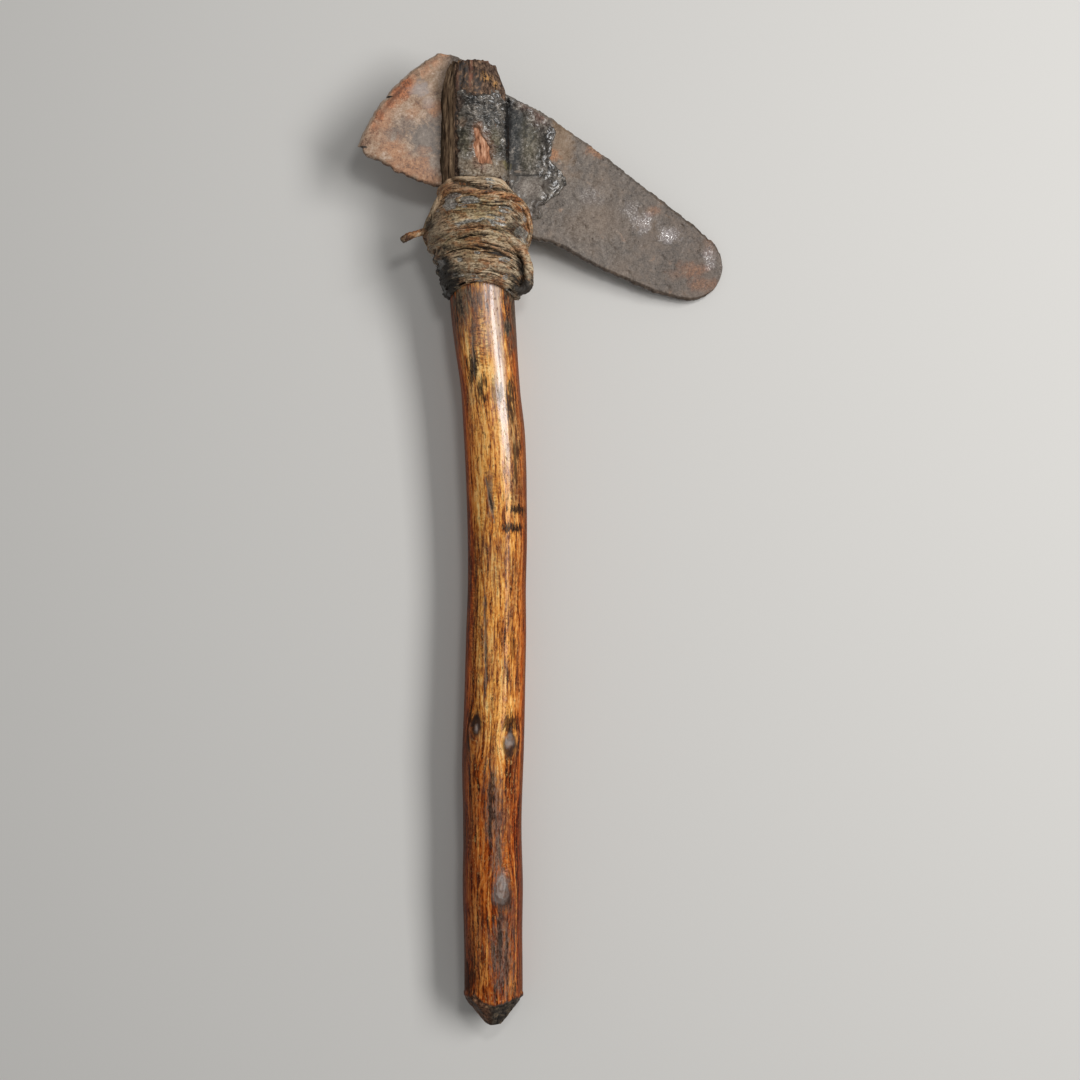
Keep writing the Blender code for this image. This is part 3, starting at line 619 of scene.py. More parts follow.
class Finish:
    """A material on one Principled shader, built node by node."""

    def __init__(self, name):
        self.material = bpy.data.materials.new(name)
        self.material.use_nodes = True
        self.tree = self.material.node_tree
        self.shader = self.tree.nodes["Principled BSDF"]
        self.colour = None

    def node(self, kind, settings, inputs, output=0):
        """Any node: its settings first, then the values or links of its sockets."""
        made = self.tree.nodes.new(kind)
        for key, value in settings.items():
            if key == "stops":
                ramp = made.color_ramp
                while len(ramp.elements) < len(value):
                    ramp.elements.new(1.0)
                for element, (place, colour) in zip(ramp.elements, value):
                    element.position = place
                    element.color = (*colour, 1.0)
            else:
                setattr(made, key, value)
        for key, value in inputs.items():
            if isinstance(value, Value):
                self.tree.links.new(value.socket, made.inputs[key])
            else:
                made.inputs[key].default_value = value
        return Value(self, made.outputs[output])

    def upright(self):
        """Place on the axe, upright and in millimetres, from the piece's own coordinates."""
        own = self.node("ShaderNodeTexCoord", {}, {}, "Object")
        turn = REST_TURN.to_euler("XYZ")
        inputs = {"Vector": own, "Location": REST_PLACE, "Rotation": turn, "Scale": (MM, MM, MM)}
        return self.node("ShaderNodeMapping", {"vector_type": "TEXTURE"}, inputs)

    def mark(self, name, output="Vector"):
        """What was written on the piece's points under a name."""
        return self.node("ShaderNodeAttribute", {"attribute_name": name}, {}, output)

    def parts(self, vector):
        split = self.node("ShaderNodeSeparateXYZ", {}, {0: vector})
        outputs = split.socket.node.outputs
        return [Value(self, outputs[k]) for k in range(3)]

    def scaled(self, vector, by):
        return self.node("ShaderNodeVectorMath", {"operation": "MULTIPLY"}, {0: vector, 1: by})

    def noise(self, vector, by, detail=3.0, roughness=0.55, distortion=0.0):
        """Cloudy noise around 0.5, with so many lumps for each millimetre along each axis."""
        inputs = {"Vector": self.scaled(vector, by), "Scale": 1.0, "Detail": detail,
                  "Roughness": roughness, "Distortion": distortion}
        return self.node("ShaderNodeTexNoise", {}, inputs)

    def cells(self, vector, by):
        """Distance to the nearest of scattered points."""
        return self.node("ShaderNodeTexVoronoi", {}, {"Vector": self.scaled(vector, by), "Scale": 1.0})

    def step(self, value, low, high):
        """0 at low, 1 at high, smooth between them and held beyond; low may be the larger one."""
        inputs = {"Value": value, "From Min": low, "From Max": high}
        return self.node("ShaderNodeMapRange", {"interpolation_type": "SMOOTHSTEP"}, inputs)

    def mix(self, under, over, share, blend="MIX"):
        settings = {"data_type": "RGBA", "blend_type": blend, "clamp_factor": True}
        under, over = [x if isinstance(x, Value) else (*scene_colour(x), 1.0) for x in (under, over)]
        return self.node("ShaderNodeMix", settings, {0: share, 6: under, 7: over}, 2)

    def over(self, layer, share, blend="MIX"):
        """Lay a colour over all that is painted so far."""
        self.colour = self.mix(self.colour, layer, share, blend)

    def ramp(self, value, stops):
        stops = [(place, scene_colour(colour)) for place, colour in stops]
        return self.node("ShaderNodeValToRGB", {"stops": stops}, {0: value}, "Color")

    def near(self, vector, centre, reach):
        """How far a place is from a centre, counted in its own reach along each axis."""
        apart = self.node("ShaderNodeVectorMath", {"operation": "SUBTRACT"}, {0: vector, 1: centre})
        counted = self.node("ShaderNodeVectorMath", {"operation": "DIVIDE"}, {0: apart, 1: reach})
        return self.node("ShaderNodeVectorMath", {"operation": "LENGTH"}, {0: counted}, "Value")

    def patches(self, at, spots, ragged, depth=GRAIN_RADIUS, soft=0.28):
        """Soft ragged ovals on the front: (x, height, half width, half height, strength), as one mask."""
        found = 0.0
        for x, height, wide, tall, strength in spots:
            apart = self.near(at, (x, height, depth), (wide, tall, PATCH_REACH)) + ragged
            found = (self.step(apart, PATCH_EDGE + soft, PATCH_EDGE - soft) * strength).most(found)
        return found

    def relief(self, height, deep):
        """Fine relief, so many millimetres deep for a height from 0 to 1."""
        inputs = {"Strength": 1.0, "Distance": deep * MM, "Height": height}
        return self.node("ShaderNodeBump", {}, inputs)

    def done(self, **sockets):
        """Set the shader's sockets, written as base_color or coat_weight, and give the material."""
        for key, value in sockets.items():
            socket = self.shader.inputs[key.replace("_", " ").title().replace("Ior", "IOR")]
            if isinstance(value, Value):
                self.tree.links.new(value.socket, socket)
            else:
                socket.default_value = value
        return self.material


def scene_colour(colour):
    """Scene colour of a tuple as it is read off a screen, from 0 to 255. Other colours stay as they are."""
    if not isinstance(colour, tuple):
        return colour
    shares = [channel / 255 for channel in colour]
    return tuple(s / 12.92 if s <= 0.04045 else ((s + 0.055) / 1.055) ** 2.4 for s in shares)


def wood_finish(look):
    """Polished branch wood: golden and red-brown grain, dark pores, stains, knots and cracks."""
    paint = Finish("polished_wood")
    at = paint.upright()
    grain = paint.mark("grain")
    across, height, _ = paint.parts(grain)
    face = paint.parts(at)[0]
    broad = paint.noise(grain, (0.10, 0.012, 0.10), 2.0)
    band = paint.noise(grain, (0.36, 0.012, 0.36), 3.0, 0.55, 0.4)
    streak = paint.noise(grain, (0.62, 0.05, 0.62), 3.0, 0.6)
    hair = paint.noise(grain, (0.85, 0.17, 0.85), 3.0, 0.6)
    grit = paint.noise(grain, (0.90, 0.45, 0.90), 3.0, 0.6)
    feather = paint.noise(grain, (0.7, 0.10, 0.7), 4.0, 0.7) * 4.0 - 2.0
    brighter = paint.step(height, 268.0, 340.0) * paint.step(height, 428.0, 396.0)
    tone = band * 0.42 + streak * 0.85 + broad * 0.3 + hair * 0.62 - 0.575 + brighter * 0.05
    paint.colour = paint.ramp(tone, [
        (0.34, look.dark_grain), (0.44, look.red_grain), (0.52, look.orange_grain),
        (0.61, look.golden_grain), (0.74, look.pale_grain),
    ])
    low = paint.step(height + across + broad * 60.0, 218.0, 153.0)
    paint.over((194, 126, 64), low * 0.8, "MULTIPLY")
    aside = across.math("ABSOLUTE", across)
    # side: the flanks of the haft, which get painted shade below and rougher wood
    side = paint.step(aside + band * 6.0, 13.0, 20.0)
    worn = paint.step(paint.noise(grain, (0.26, 0.03, 0.26), 4.0, 0.65), 0.48, 0.64)
    paint.over(look.worn_grey, worn * 0.3)
    ladder = paint.step(paint.noise(grain, (0.35, 0.85, 0.35), 1.0), 0.46, 0.56)
    ticked = paint.patches(at, WOOD_TICKS, feather).most(paint.step(broad, 0.56, 0.68) * 0.6)
    paint.over((92, 46, 20), ladder * ticked * 0.7)
    broken = paint.step(streak * 0.5 + hair * 0.5, 0.42, 0.56)
    gold = paint.patches(at, WOOD_GOLD, feather, soft=0.5) * 0.8
    gold = gold.most(paint.step(paint.mark("vein", "Fac") + feather * 0.20, 0.45, 1.05)) * broken
    paint.over((232, 164, 84), gold * 0.8)
    grey = paint.patches(at, WOOD_GREY, feather, soft=0.5)
    paint.over(paint.ramp(hair * 0.4 + grit * 0.6, [
        (0.38, (40, 32, 28)), (0.48, (82, 70, 62)), (0.60, (140, 124, 110)),
    ]), grey * 0.75)
    maroon = paint.ramp(hair, [(0.42, (52, 28, 22)), (0.6, (116, 74, 58))])
    paint.over(maroon, paint.patches(at, WOOD_MAROON, feather, soft=0.5) * 0.75)
    dash = paint.step(hair * 0.45 + grit * 0.55, 0.54, 0.61)
    paint.over((48, 23, 11), dash * (worn * 0.35 + 0.5))
    spark = paint.step(hair * 0.4 + grit * 0.6, 0.45, 0.37)
    paint.over((242, 190, 120), spark * (1 - grey) * (0.42 - low * 0.14 - side * 0.1))
    stain = paint.patches(at, WOOD_BLACK, feather * 1.1 + hair * 1.6 - 0.8, soft=0.34)
    stain = stain.most(paint.step(paint.noise(grain, (0.30, 0.09, 0.30), 4.0, 0.65), 0.65, 0.74) * 0.8)
    paint.over((34, 24, 18), stain * (1.45 - grit * 1.1))
    # Painted shade: the flanks are tinted darker and redder, most saturated on the left, and the very edge
    # darker still
    painted_side_shade = paint.mix((202, 128, 60), (232, 132, 34), paint.step(across, 0.0, -8.0))
    paint.over(painted_side_shade, side * (0.85 - low * 0.3), "MULTIPLY")
    painted_edge_shade = paint.step(aside + streak * 3.0, 16.6, 19.0)
    paint.over((74, 42, 20), painted_edge_shade * 0.66)
    warp = paint.noise(at, (0.22, 0.16, 0.22), 3.0, 0.6) * 0.9 - 0.45
    knotty = 0.0
    for x, middle, wide, tall, ring_x, ring_height, pale, clear in KNOT_EYES:
        reach = (wide, tall, PATCH_REACH)
        apart = paint.near(at, (x, middle, GRAIN_RADIUS), reach) + feather * 0.22 + warp * 0.4
        out = paint.near(at, (ring_x, ring_height, GRAIN_RADIUS), reach) + feather * 0.10 + warp
        rings = paint.step(out.math("SINE", out * 17.0), -1.0, 1.0) * clear + grit * (1.25 - clear) - 0.05
        # Pale heart: the knot's own grey, partly a painted highlight
        heart = paint.mix((52, 38, 31), look.knot, rings * paint.step(out, pale, pale * 0.2))
        eye = paint.step(apart, 1.30, 0.70)
        knotty = eye.most(knotty)
        paint.over(heart, eye * (1.25 - hair * 0.7))
    split = paint.mark("split", "Fac")
    torn_edge = split + grit * 1.1 - 0.55
    paint.over((120, 106, 92), paint.step(torn_edge, 0.15, 0.6) * 0.6)
    paint.over((34, 24, 18), paint.step(torn_edge, 0.62, 0.98) * 0.85)
    tarred = paint.patches(at, WOOD_TAR, feather, soft=0.5)
    paint.over(paint.ramp(grit * 0.5 + hair * 0.5, [
        (0.40, (36, 30, 25)), (0.50, (78, 68, 56)), (0.60, (124, 106, 84)),
    ]), tarred * 0.85)
    # Painted highlight: a pale line down the front where the light glints on the haft
    polish = paint.mark("polish", "Fac") * (1 - dash * 0.7) * (1 - stain * 0.5)
    paint.over((192, 182, 176), polish * (streak * 0.5 + 0.32))
    head = paint.mark("head", "Fac")
    char = paint.noise(at, (0.36, 0.22, 0.36), 4.0, 0.75)
    flake = paint.noise(at, (0.60, 0.42, 0.60), 3.0, 0.7)
    charred = paint.ramp(char * 0.45 + flake * 0.55, [
        (0.36, (28, 21, 18)), (0.46, (62, 48, 40)), (0.54, (100, 80, 66)), (0.66, (160, 128, 102)),
    ])
    torn = char * 4.0 + flake * 5.0 - 4.5
    charred = paint.mix(charred, (86, 88, 88), paint.patches(at, HEAD_BLUE, torn, soft=0.5) * 0.5)
    charred = paint.mix(charred, (160, 104, 82), paint.patches(at, HEAD_PINK, torn, soft=0.5) * flake * 0.9)
    tuft = paint.patches(at, HEAD_GOLD, torn * 0.6, soft=0.5) * paint.step(flake + hair * 0.5, 0.70, 0.86)
    charred = paint.mix(charred, (196, 146, 86), tuft * 0.85)
    strip = paint.ramp(streak * 0.6 + hair * 0.4, [
        (0.38, (58, 45, 34)), (0.49, (122, 99, 78)), (0.60, (176, 148, 118)),
    ])
    # Near-black at the outermost left edge of the split face: painted shade where it meets the blade
    strip = paint.mix(strip, (34, 28, 22), paint.step(face + hair * 2.0, -25.2, -27.6) * 0.85)
    outer = paint.step(face + streak * 1.6, -19.0, -20.6)
    paint.over(paint.mix(charred, strip, outer), head)
    bare = paint.ramp(streak * 0.4 + hair * 0.6, [
        (0.39, (86, 54, 38)), (0.49, (158, 108, 80)), (0.60, (208, 164, 134)),
    ])
    paint.over(bare, paint.patches(at, HEAD_BARE, feather * 0.3) * head)
    # Painted shadow in the crevice beside the blade gum
    paint.over((22, 19, 17), paint.patches(at, HEAD_PAINTED_CREVICE_SHADOW, feather * 0.2) * head * 0.9)
    butt = paint.mark("butt", "Fac")
    chipped = paint.noise(at, (0.30, 0.30, 0.30), 5.0, 0.75)
    cone = paint.ramp(chipped, [
        (0.36, (22, 19, 17)), (0.47, (48, 42, 36)), (0.57, (78, 69, 58)), (0.74, (140, 114, 84)),
    ])
    warm = paint.ramp(chipped, [
        (0.38, (36, 24, 18)), (0.48, (76, 52, 38)), (0.59, (116, 82, 62)), (0.74, (184, 144, 108)),
    ])
    paint.over(paint.mix(warm, cone, paint.step(face + chipped * 12.0, 4.0, 9.0)), butt)
    lip = paint.mark("lip", "Fac") + grit * 1.2 + warp * 1.6 - 0.6
    ragged = paint.step(streak * 0.6 + hair * 0.4, 0.46, 0.56)
    paint.over((196, 126, 66), paint.step(lip, 0.45, 1.25) * (1 - butt) * ragged * 0.5)
    rough = look.gloss + worn * 0.10 + dash * 0.2 + streak * 0.16 + stain * 0.1 + side * 0.2 - 0.08
    rough = rough.most(head * 0.58).most(butt * 0.48)
    upper = paint.step(height + broad * 60.0, 330.0, 405.0)
    coat = paint.step(aside + band * 3.0, 17.0, 11.0) * (upper * 0.8 + 0.06)
    coat = coat * (1 - head) * (1 - butt) * (1 - dash * 0.7) * (1 - stain * 0.4) * (1 - knotty * 0.8)
    bumps = hair * 0.6 + streak * 0.4 - dash * 0.7 + head * (char + flake) * 3.0
    return paint.done(base_color=paint.colour, roughness=rough, normal=paint.relief(bumps, look.grain_depth),
                      specular_ior_level=0.06, coat_weight=coat, coat_roughness=0.21)


def iron_finish(look):
    """Old forged iron: grey-brown and pitted, with orange rust that lies thickest at the ends."""
    paint = Finish("rusty_iron")
    at = paint.upright()
    x = paint.parts(at)[0]
    cloud = paint.noise(at, (0.05, 0.05, 0.05), 3.0, 0.55)
    blotch = paint.noise(at, (0.15, 0.15, 0.15), 5.0, 0.65)
    speck = paint.noise(at, (0.50, 0.50, 0.50), 4.0, 0.7)
    grit = paint.noise(at, (1.1, 1.1, 1.1), 3.0, 0.7)
    soft = blotch * 3.0 + speck * 1.4 - 2.2
    tone = speck * 0.5 + blotch * 0.1 + grit * 0.4
    body = paint.ramp(tone, [
        (0.34, (54, 47, 42)), (0.45, look.iron_dark), (0.53, look.iron), (0.62, look.iron_pale),
        (0.74, (182, 176, 168)),
    ])
    body = paint.mix(body, (132, 114, 98), paint.step(cloud * 0.5 + blotch * 0.5, 0.44, 0.62) * 0.35)
    earth = paint.ramp(speck * 0.4 + blotch * 0.5 + grit * 0.25 - 0.075, [
        (0.37, (88, 62, 46)), (0.445, (140, 110, 88)), (0.51, (164, 136, 112)),
        (0.58, (182, 158, 138)), (0.68, (212, 194, 178)),
    ])
    left = paint.step(x, -20.0, -30.0)
    tan = paint.patches(at, IRON_TAN, soft, 3.0, 0.6)
    paint.colour = paint.mix(body, earth, left.most(tan * 0.55))
    paint.over((122, 99, 70), tan * (1 - left * 0.4) * 0.55)
    blue = paint.mix((84, 86, 84), (140, 136, 132), speck)
    paint.over(blue, paint.patches(at, IRON_BLUE, soft, 3.0, 0.45) * 0.7)
    rust = paint.ramp(speck * 0.6 + grit * 0.4, [
        (0.36, (88, 50, 30)), (0.46, look.rust), (0.55, (182, 130, 92)), (0.64, (212, 172, 136)),
    ])
    rust = paint.mix(rust, (190, 148, 122), left * 0.35)
    rusty = paint.patches(at, IRON_RUST, soft * 1.1, 3.0, 0.55)
    rusty = rusty.most(paint.mark("rust_band", "Fac") * paint.step(blotch, 0.44, 0.56))
    rusty = rusty.most(paint.step(blotch * 0.7 + speck * 0.3, 0.58, 0.68) * 0.3)
    rusty = rusty * (paint.step(speck * 0.6 + grit * 0.4, 0.38, 0.52) * 0.45 + 0.5) * (left * 0.1 + 0.85)
    paint.over(rust, rusty)
    fiery = paint.patches(at, IRON_FIERY, soft, 3.0, 0.5)
    crusty = paint.step(speck * 0.6 + grit * 0.4, 0.36, 0.62)
    paint.over(paint.mix((84, 44, 26), (204, 124, 78), crusty), fiery * 0.85)
    paint.over((212, 204, 198), paint.step(x, 40.0, 130.0), "MULTIPLY")
    lilac = paint.patches(at, IRON_LILAC, soft, 3.0, 0.5)
    paint.over(paint.mix((128, 112, 106), (204, 190, 182), speck), lilac * 0.7)
    paint.over((176, 158, 140), paint.step(paint.mark("ground", "Fac"), 0.15, 0.7) * 0.5)
    line = paint.mark("grind_line", "Fac")
    paint.over((80, 38, 20), line * paint.step(speck, 0.35, 0.5) * 0.8)
    pits = paint.step(paint.cells(at, (0.4, 0.4, 0.4)) + speck * 0.5, 0.42, 0.26)
    paint.over((44, 34, 28), pits * 0.45)
    # Dark line along the edges, strongest on the lower edge: painted shade
    edge = paint.mark("edge", "Fac")
    paint.over((46, 36, 30), edge * paint.step(speck, 0.66, 0.42) * 0.8)
    paint.over((22, 15, 12), paint.patches(at, IRON_BLACK, soft * 0.3, 3.0))
    # Painted highlight: pale sheen and pale glint specks, with lower roughness as well
    painted_glint_and_gloss = paint.patches(at, IRON_PAINTED_GLINT_AND_GLOSS, soft * 1.2, 3.0, 0.7)
    spark = paint.step(grit * 0.6 + speck * 0.4, 0.51, 0.58)
    paint.over((158, 148, 148), painted_glint_and_gloss * 0.3)
    paint.over((222, 218, 216), painted_glint_and_gloss * spark * 0.7)
    rough = look.iron_gloss + rusty * 0.22 + left * 0.14 + speck * 0.4 - 0.2 - painted_glint_and_gloss * (spark * 0.26 + 0.08)
    bumps = grit * 0.6 + speck * 1.0 - pits * 0.7
    return paint.done(base_color=paint.colour, roughness=rough, metallic=(1 - rusty) * (1 - left) * 0.18,
                      normal=paint.relief(bumps, look.pit_depth))


def gum_finish(look):
    """Dark plant gum: black and shiny where it is thick and crackled, dusty and dull where it is thin."""
    paint = Finish("crackled_gum")
    at = paint.upright()
    cloud = paint.noise(at, (0.16, 0.16, 0.16), 3.0, 0.6)
    speck = paint.noise(at, (0.55, 0.55, 0.55), 4.0, 0.7)
    fine = paint.noise(at, (1.1, 1.1, 1.1), 3.0, 0.7)
    ragged = cloud * 2.4 + speck * 2.0 - 2.2
    tone = speck * 0.5 + cloud * 0.5 + fine * 0.2 - 0.10
    paint.colour = paint.ramp(tone, [
        (0.36, (26, 25, 24)), (0.47, look.gum), (0.56, (108, 101, 93)), (0.67, (160, 151, 140)),
    ])
    dull = paint.patches(at, GUM_MATTE, ragged * 0.3)
    for strength, dulled, spots, shades in (
        (0.80, 0.9, GUM_BLUE, ((28, 30, 31), (53, 55, 55), (94, 94, 92))),
        (0.80, 0.9, GUM_OLIVE, ((42, 39, 30), (84, 78, 62), (132, 122, 100))),
        (0.85, 1.0, GUM_DUST, ((84, 70, 56), (136, 120, 101), (184, 168, 146))),
        (0.85, 0.8, GUM_MAUVE, ((84, 76, 70), (134, 123, 113), (178, 168, 158))),
        (0.75, 0.9, GUM_PURPLE, ((50, 36, 33), (92, 70, 62), (148, 106, 88))),
        (0.60, 0.8, GUM_STAIN, ((70, 50, 40), (120, 92, 76), (172, 138, 116))),
        (0.85, 0.9, GUM_WOOD, ((70, 50, 38), (134, 98, 76), (190, 146, 118))),
    ):
        mask = paint.patches(at, spots, ragged, soft=0.45) * strength
        shade = paint.ramp(tone, list(zip((0.38, 0.50, 0.63), shades)))
        paint.over(shade, mask)
        dull = (mask * dulled).most(dull)
    paint.over((150, 138, 80), paint.patches(at, GUM_YELLOW, ragged))
    # Painted shadow in the crevice beside the cheek, and black cracks
    paint.over((16, 14, 13), paint.patches(at, GUM_CRACKS_AND_CREVICE_SHADOW, ragged * 0.4))
    dull = dull * (1 - paint.patches(at, GUM_GLOSSY, ragged * 0.4))
    rough = look.gum_gloss + speck * 0.5 - 0.25 + dull * 0.30
    bumps = (speck * 1.0 + fine * 0.15) * (1 - dull * 0.6)
    coat = (1 - dull * 1.25).most(0.0) * 0.65
    crackle = paint.relief(bumps, look.crackle_depth)
    return paint.done(base_color=paint.colour, roughness=rough, normal=crackle, specular_ior_level=0.36,
                      coat_weight=coat, coat_roughness=0.19)


def fibre_finish(look):
    """Bark fibre: dry tan and brown threads with dark gaps, smeared with gum in places."""
    paint = Finish("bark_fibre")
    at = paint.upright()
    thread = paint.mark("thread")
    tone = paint.mark("tone", "Fac")
    fibres = paint.noise(thread, (0.26, 1.2, 0.26), 4.0, 0.7)
    hairs = paint.noise(thread, (0.45, 1.6, 0.45), 2.0, 0.7)
    cloud = paint.noise(at, (0.16, 0.16, 0.16), 4.0, 0.65)
    speck = paint.noise(at, (0.70, 0.90, 0.70), 4.0, 0.75)
    shade = fibres * 0.5 + hairs * 0.3 + cloud * 0.3 + speck * 0.75 + tone * 0.16 - 0.48
    paint.colour = paint.ramp(shade, [
        (0.30, (32, 25, 18)), (0.41, look.fibre_dark), (0.52, look.fibre), (0.64, look.fibre_pale),
        (0.82, (216, 200, 174)),
    ])
    warm = paint.step(paint.noise(at, (0.20, 0.32, 0.20), 3.0, 0.6), 0.47, 0.60)
    paint.over((218, 168, 122), warm * 0.7, "MULTIPLY")
    ragged = cloud * 3.0 + fibres * 2.0 - 2.5
    for hue, strength, spots in (
        ((234, 180, 124), 0.8, FIBRE_ORANGE), ((226, 224, 190), 0.7, FIBRE_OLIVE),
    ):
        paint.over(hue, paint.patches(at, spots, ragged, soft=0.5) * strength, "MULTIPLY")
    # Paler threads, and painted light on the left leg
    pale = paint.patches(at, FIBRE_PALE_AND_PAINTED_LIGHT, ragged, soft=0.5)
    paint.over((182, 160, 132), pale * paint.step(shade, 0.34, 0.56) * 0.62)
    # Painted shade in the gaps between threads
    gaps = paint.step(fibres * 0.5 + speck * 0.5, 0.45, 0.40)
    paint.over((40, 31, 21), gaps * (1 - pale * 0.6) * 0.5)
    # Painted shade in the sunk gaps between strands and in the crevice above the arch
    sunk = paint.mark("sunk", "Fac")
    paint.over((18, 13, 10), sunk * (0.9 - pale * 0.35))
    greasy = paint.patches(at, FIBRE_GREASE, ragged * 0.6, soft=0.4)
    paint.over((24, 20, 17), greasy * 0.95)
    gummed = paint.step(paint.mark("gummed", "Fac") + speck * 2.0 - 1.0, 0.35, 0.95)
    # The lightest stops are painted glint specks on the gum smears
    gum = paint.ramp(speck * 0.8 + cloud * 0.2, [
        (0.36, (56, 58, 56)), (0.5, (106, 108, 105)), (0.60, (166, 168, 165)), (0.68, (232, 234, 232)),
    ])
    gummed = gummed * (1 - greasy * 0.65)
    paint.over(gum, gummed * 0.7)
    rough = 0.62 - gummed * 0.34 + speck * 0.4 - 0.2
    bumps = (fibres * 1.0 + hairs * 0.5 + speck * 0.8) * (1 - gummed * 0.6)
    return paint.done(base_color=paint.colour, roughness=rough, normal=paint.relief(bumps, look.fibre_depth),
                      specular_ior_level=0.35, coat_weight=gummed * 0.7, coat_roughness=0.18)


def floor_finish(look):
    """Plain pale paper."""
    paint = Finish("pale_floor")
    own = paint.node("ShaderNodeTexCoord", {}, {}, "Object")
    grain = paint.noise(own, (900.0, 900.0, 900.0), 2.0)
    return paint.done(base_color=(*look.floor, 1.0), roughness=0.9, normal=paint.relief(grain, 0.02))


# Haft


# Relief, each layer as (height, lump size, seed)
WOOD_RELIEF = [(0.07, (2.6, 60, 2.6), 11.0), (0.05, (1.0, 16, 1.0), 4.0), (0.20, (9, 45, 9), 7.0)]
HEAD_RELIEF = [(0.9, (2.4, 14, 2.4), 2.0), (0.6, (1.1, 4.5, 1.1), 3.0)]
CHOPPED_RELIEF = [(0.45, (4.5, 3.5, 4.5), 5.0), (0.35, (1.8, 1.5, 1.8), 6.0)]
SLOT_RELIEF = 0.35
CRACK_DEPTH = 0.7
KNOT_GROOVE = 0.45
KNOT_HOLLOW = 0.9
GRAIN_PUSH = 0.85
LIP_HEIGHT = 18.4
LIP_RISE = 0.4
LIP_UNDERCUT = 0.45

# Heights between which the wood turns whole, the painted highlight fades in, and the wood turns charred,
# rough and jagged
WHOLE_WOOD = (18.0, 26.0)
PAINTED_HIGHLIGHT_FADE = (318.0, 372.0)
CHARRED_HEAD = (494.0, 504.0)
ROUGH_HEAD = (496.0, 506.0)
JAGGED_TOP = (571.0, HAFT_TOP)


def lip_line(turn, straight, radius):
    """Height of the ragged lip above the chopped butt: placed on the front, and level elsewhere."""
    lip = LIP_HEIGHT + 1.6 * lumps(straight * (1, 0, 1), 5.0, 9.0)
    front = smooth(np.sin(turn), -0.1, 0.3)
    lip = lip + front * (np.interp(radius * np.cos(turn), *np.array(BUTT_LIP).T) - lip)
    return lip + 0.8 * lumps(straight * (1, 0, 1), 2.4, 3.0)


def cracked(spot, straight, height):
    """How open the drying cracks are, from 0 to 1."""
    split = np.zeros_like(height)
    for (x_high, high), (x_low, low), half, widest in CRACKS:
        along = (high - height) / (high - low)
        within = np.clip(along, 0.0, 1.0)
        taper = np.where(within < widest, within / widest, (1 - within) / (1 - widest))
        wobble = 0.6 * lumps(straight, (30, 9, 30), high)
        apart = np.abs(spot[:, 0] - (x_high + (x_low - x_high) * along) - wobble)
        taper = taper * (1 + 0.9 * lumps(straight, (30, 5, 30), low))
        inside = bell(apart / (np.abs(half * taper) + 0.2)) * (np.abs(along - 0.5) < 0.5)
        split = np.maximum(split, inside * np.sqrt(np.clip(taper, 0, 1)) * (spot[:, 2] > 0))
    return split


def veined(spot, straight, height):
    """How bright the lines of grain are, from 0 to 1."""
    vein = np.zeros_like(height)
    for points, half in WOOD_VEINS:
        x, y = np.array(points[::-1]).T
        apart = spot[:, 0] - np.interp(height, y, x) + 0.5 * lumps(straight, (30, 12, 30), x[0])
        ends = smooth(height, y[0] - 2.0, y[0] + 6.0) * smooth(height, y[-1] + 2.0, y[-1] - 6.0)
        vein = np.maximum(vein, bell(apart / (0.75 * half)) * ends * (spot[:, 2] > 0))
    return vein


def polished(spot, height):
    """Painted highlight on the front, from 0 to 1: a flat-topped pale line, with a painted glow on its left
    high up.
    """
    x, y = np.array(WOOD_PAINTED_HIGHLIGHT[::-1]).T
    apart = (spot[:, 0] - np.interp(height, y, x)) / (1.9 + 1.3 * smooth(height, 340.0, 400.0))
    glow = 0.85 * bell(apart / 2.7) * (apart < 0) * smooth(height, 392.0, 412.0)
    return np.maximum(bell(apart**2), glow) * smooth(height, *PAINTED_HIGHLIGHT_FADE) * (spot[:, 2] > 0)


def grain_place(turn, height):
    """Places in the wood, pushed aside so that the grain flows round the knots."""
    push = np.zeros_like(height)
    for knot in KNOTS:
        apart, above = knot_apart(turn, height, knot)
        push = push + GRAIN_PUSH * apart * bell(apart / 6.5, above / (1.7 * knot[3]))
    return rolled(turn - push / GRAIN_RADIUS, height, GRAIN_RADIUS)


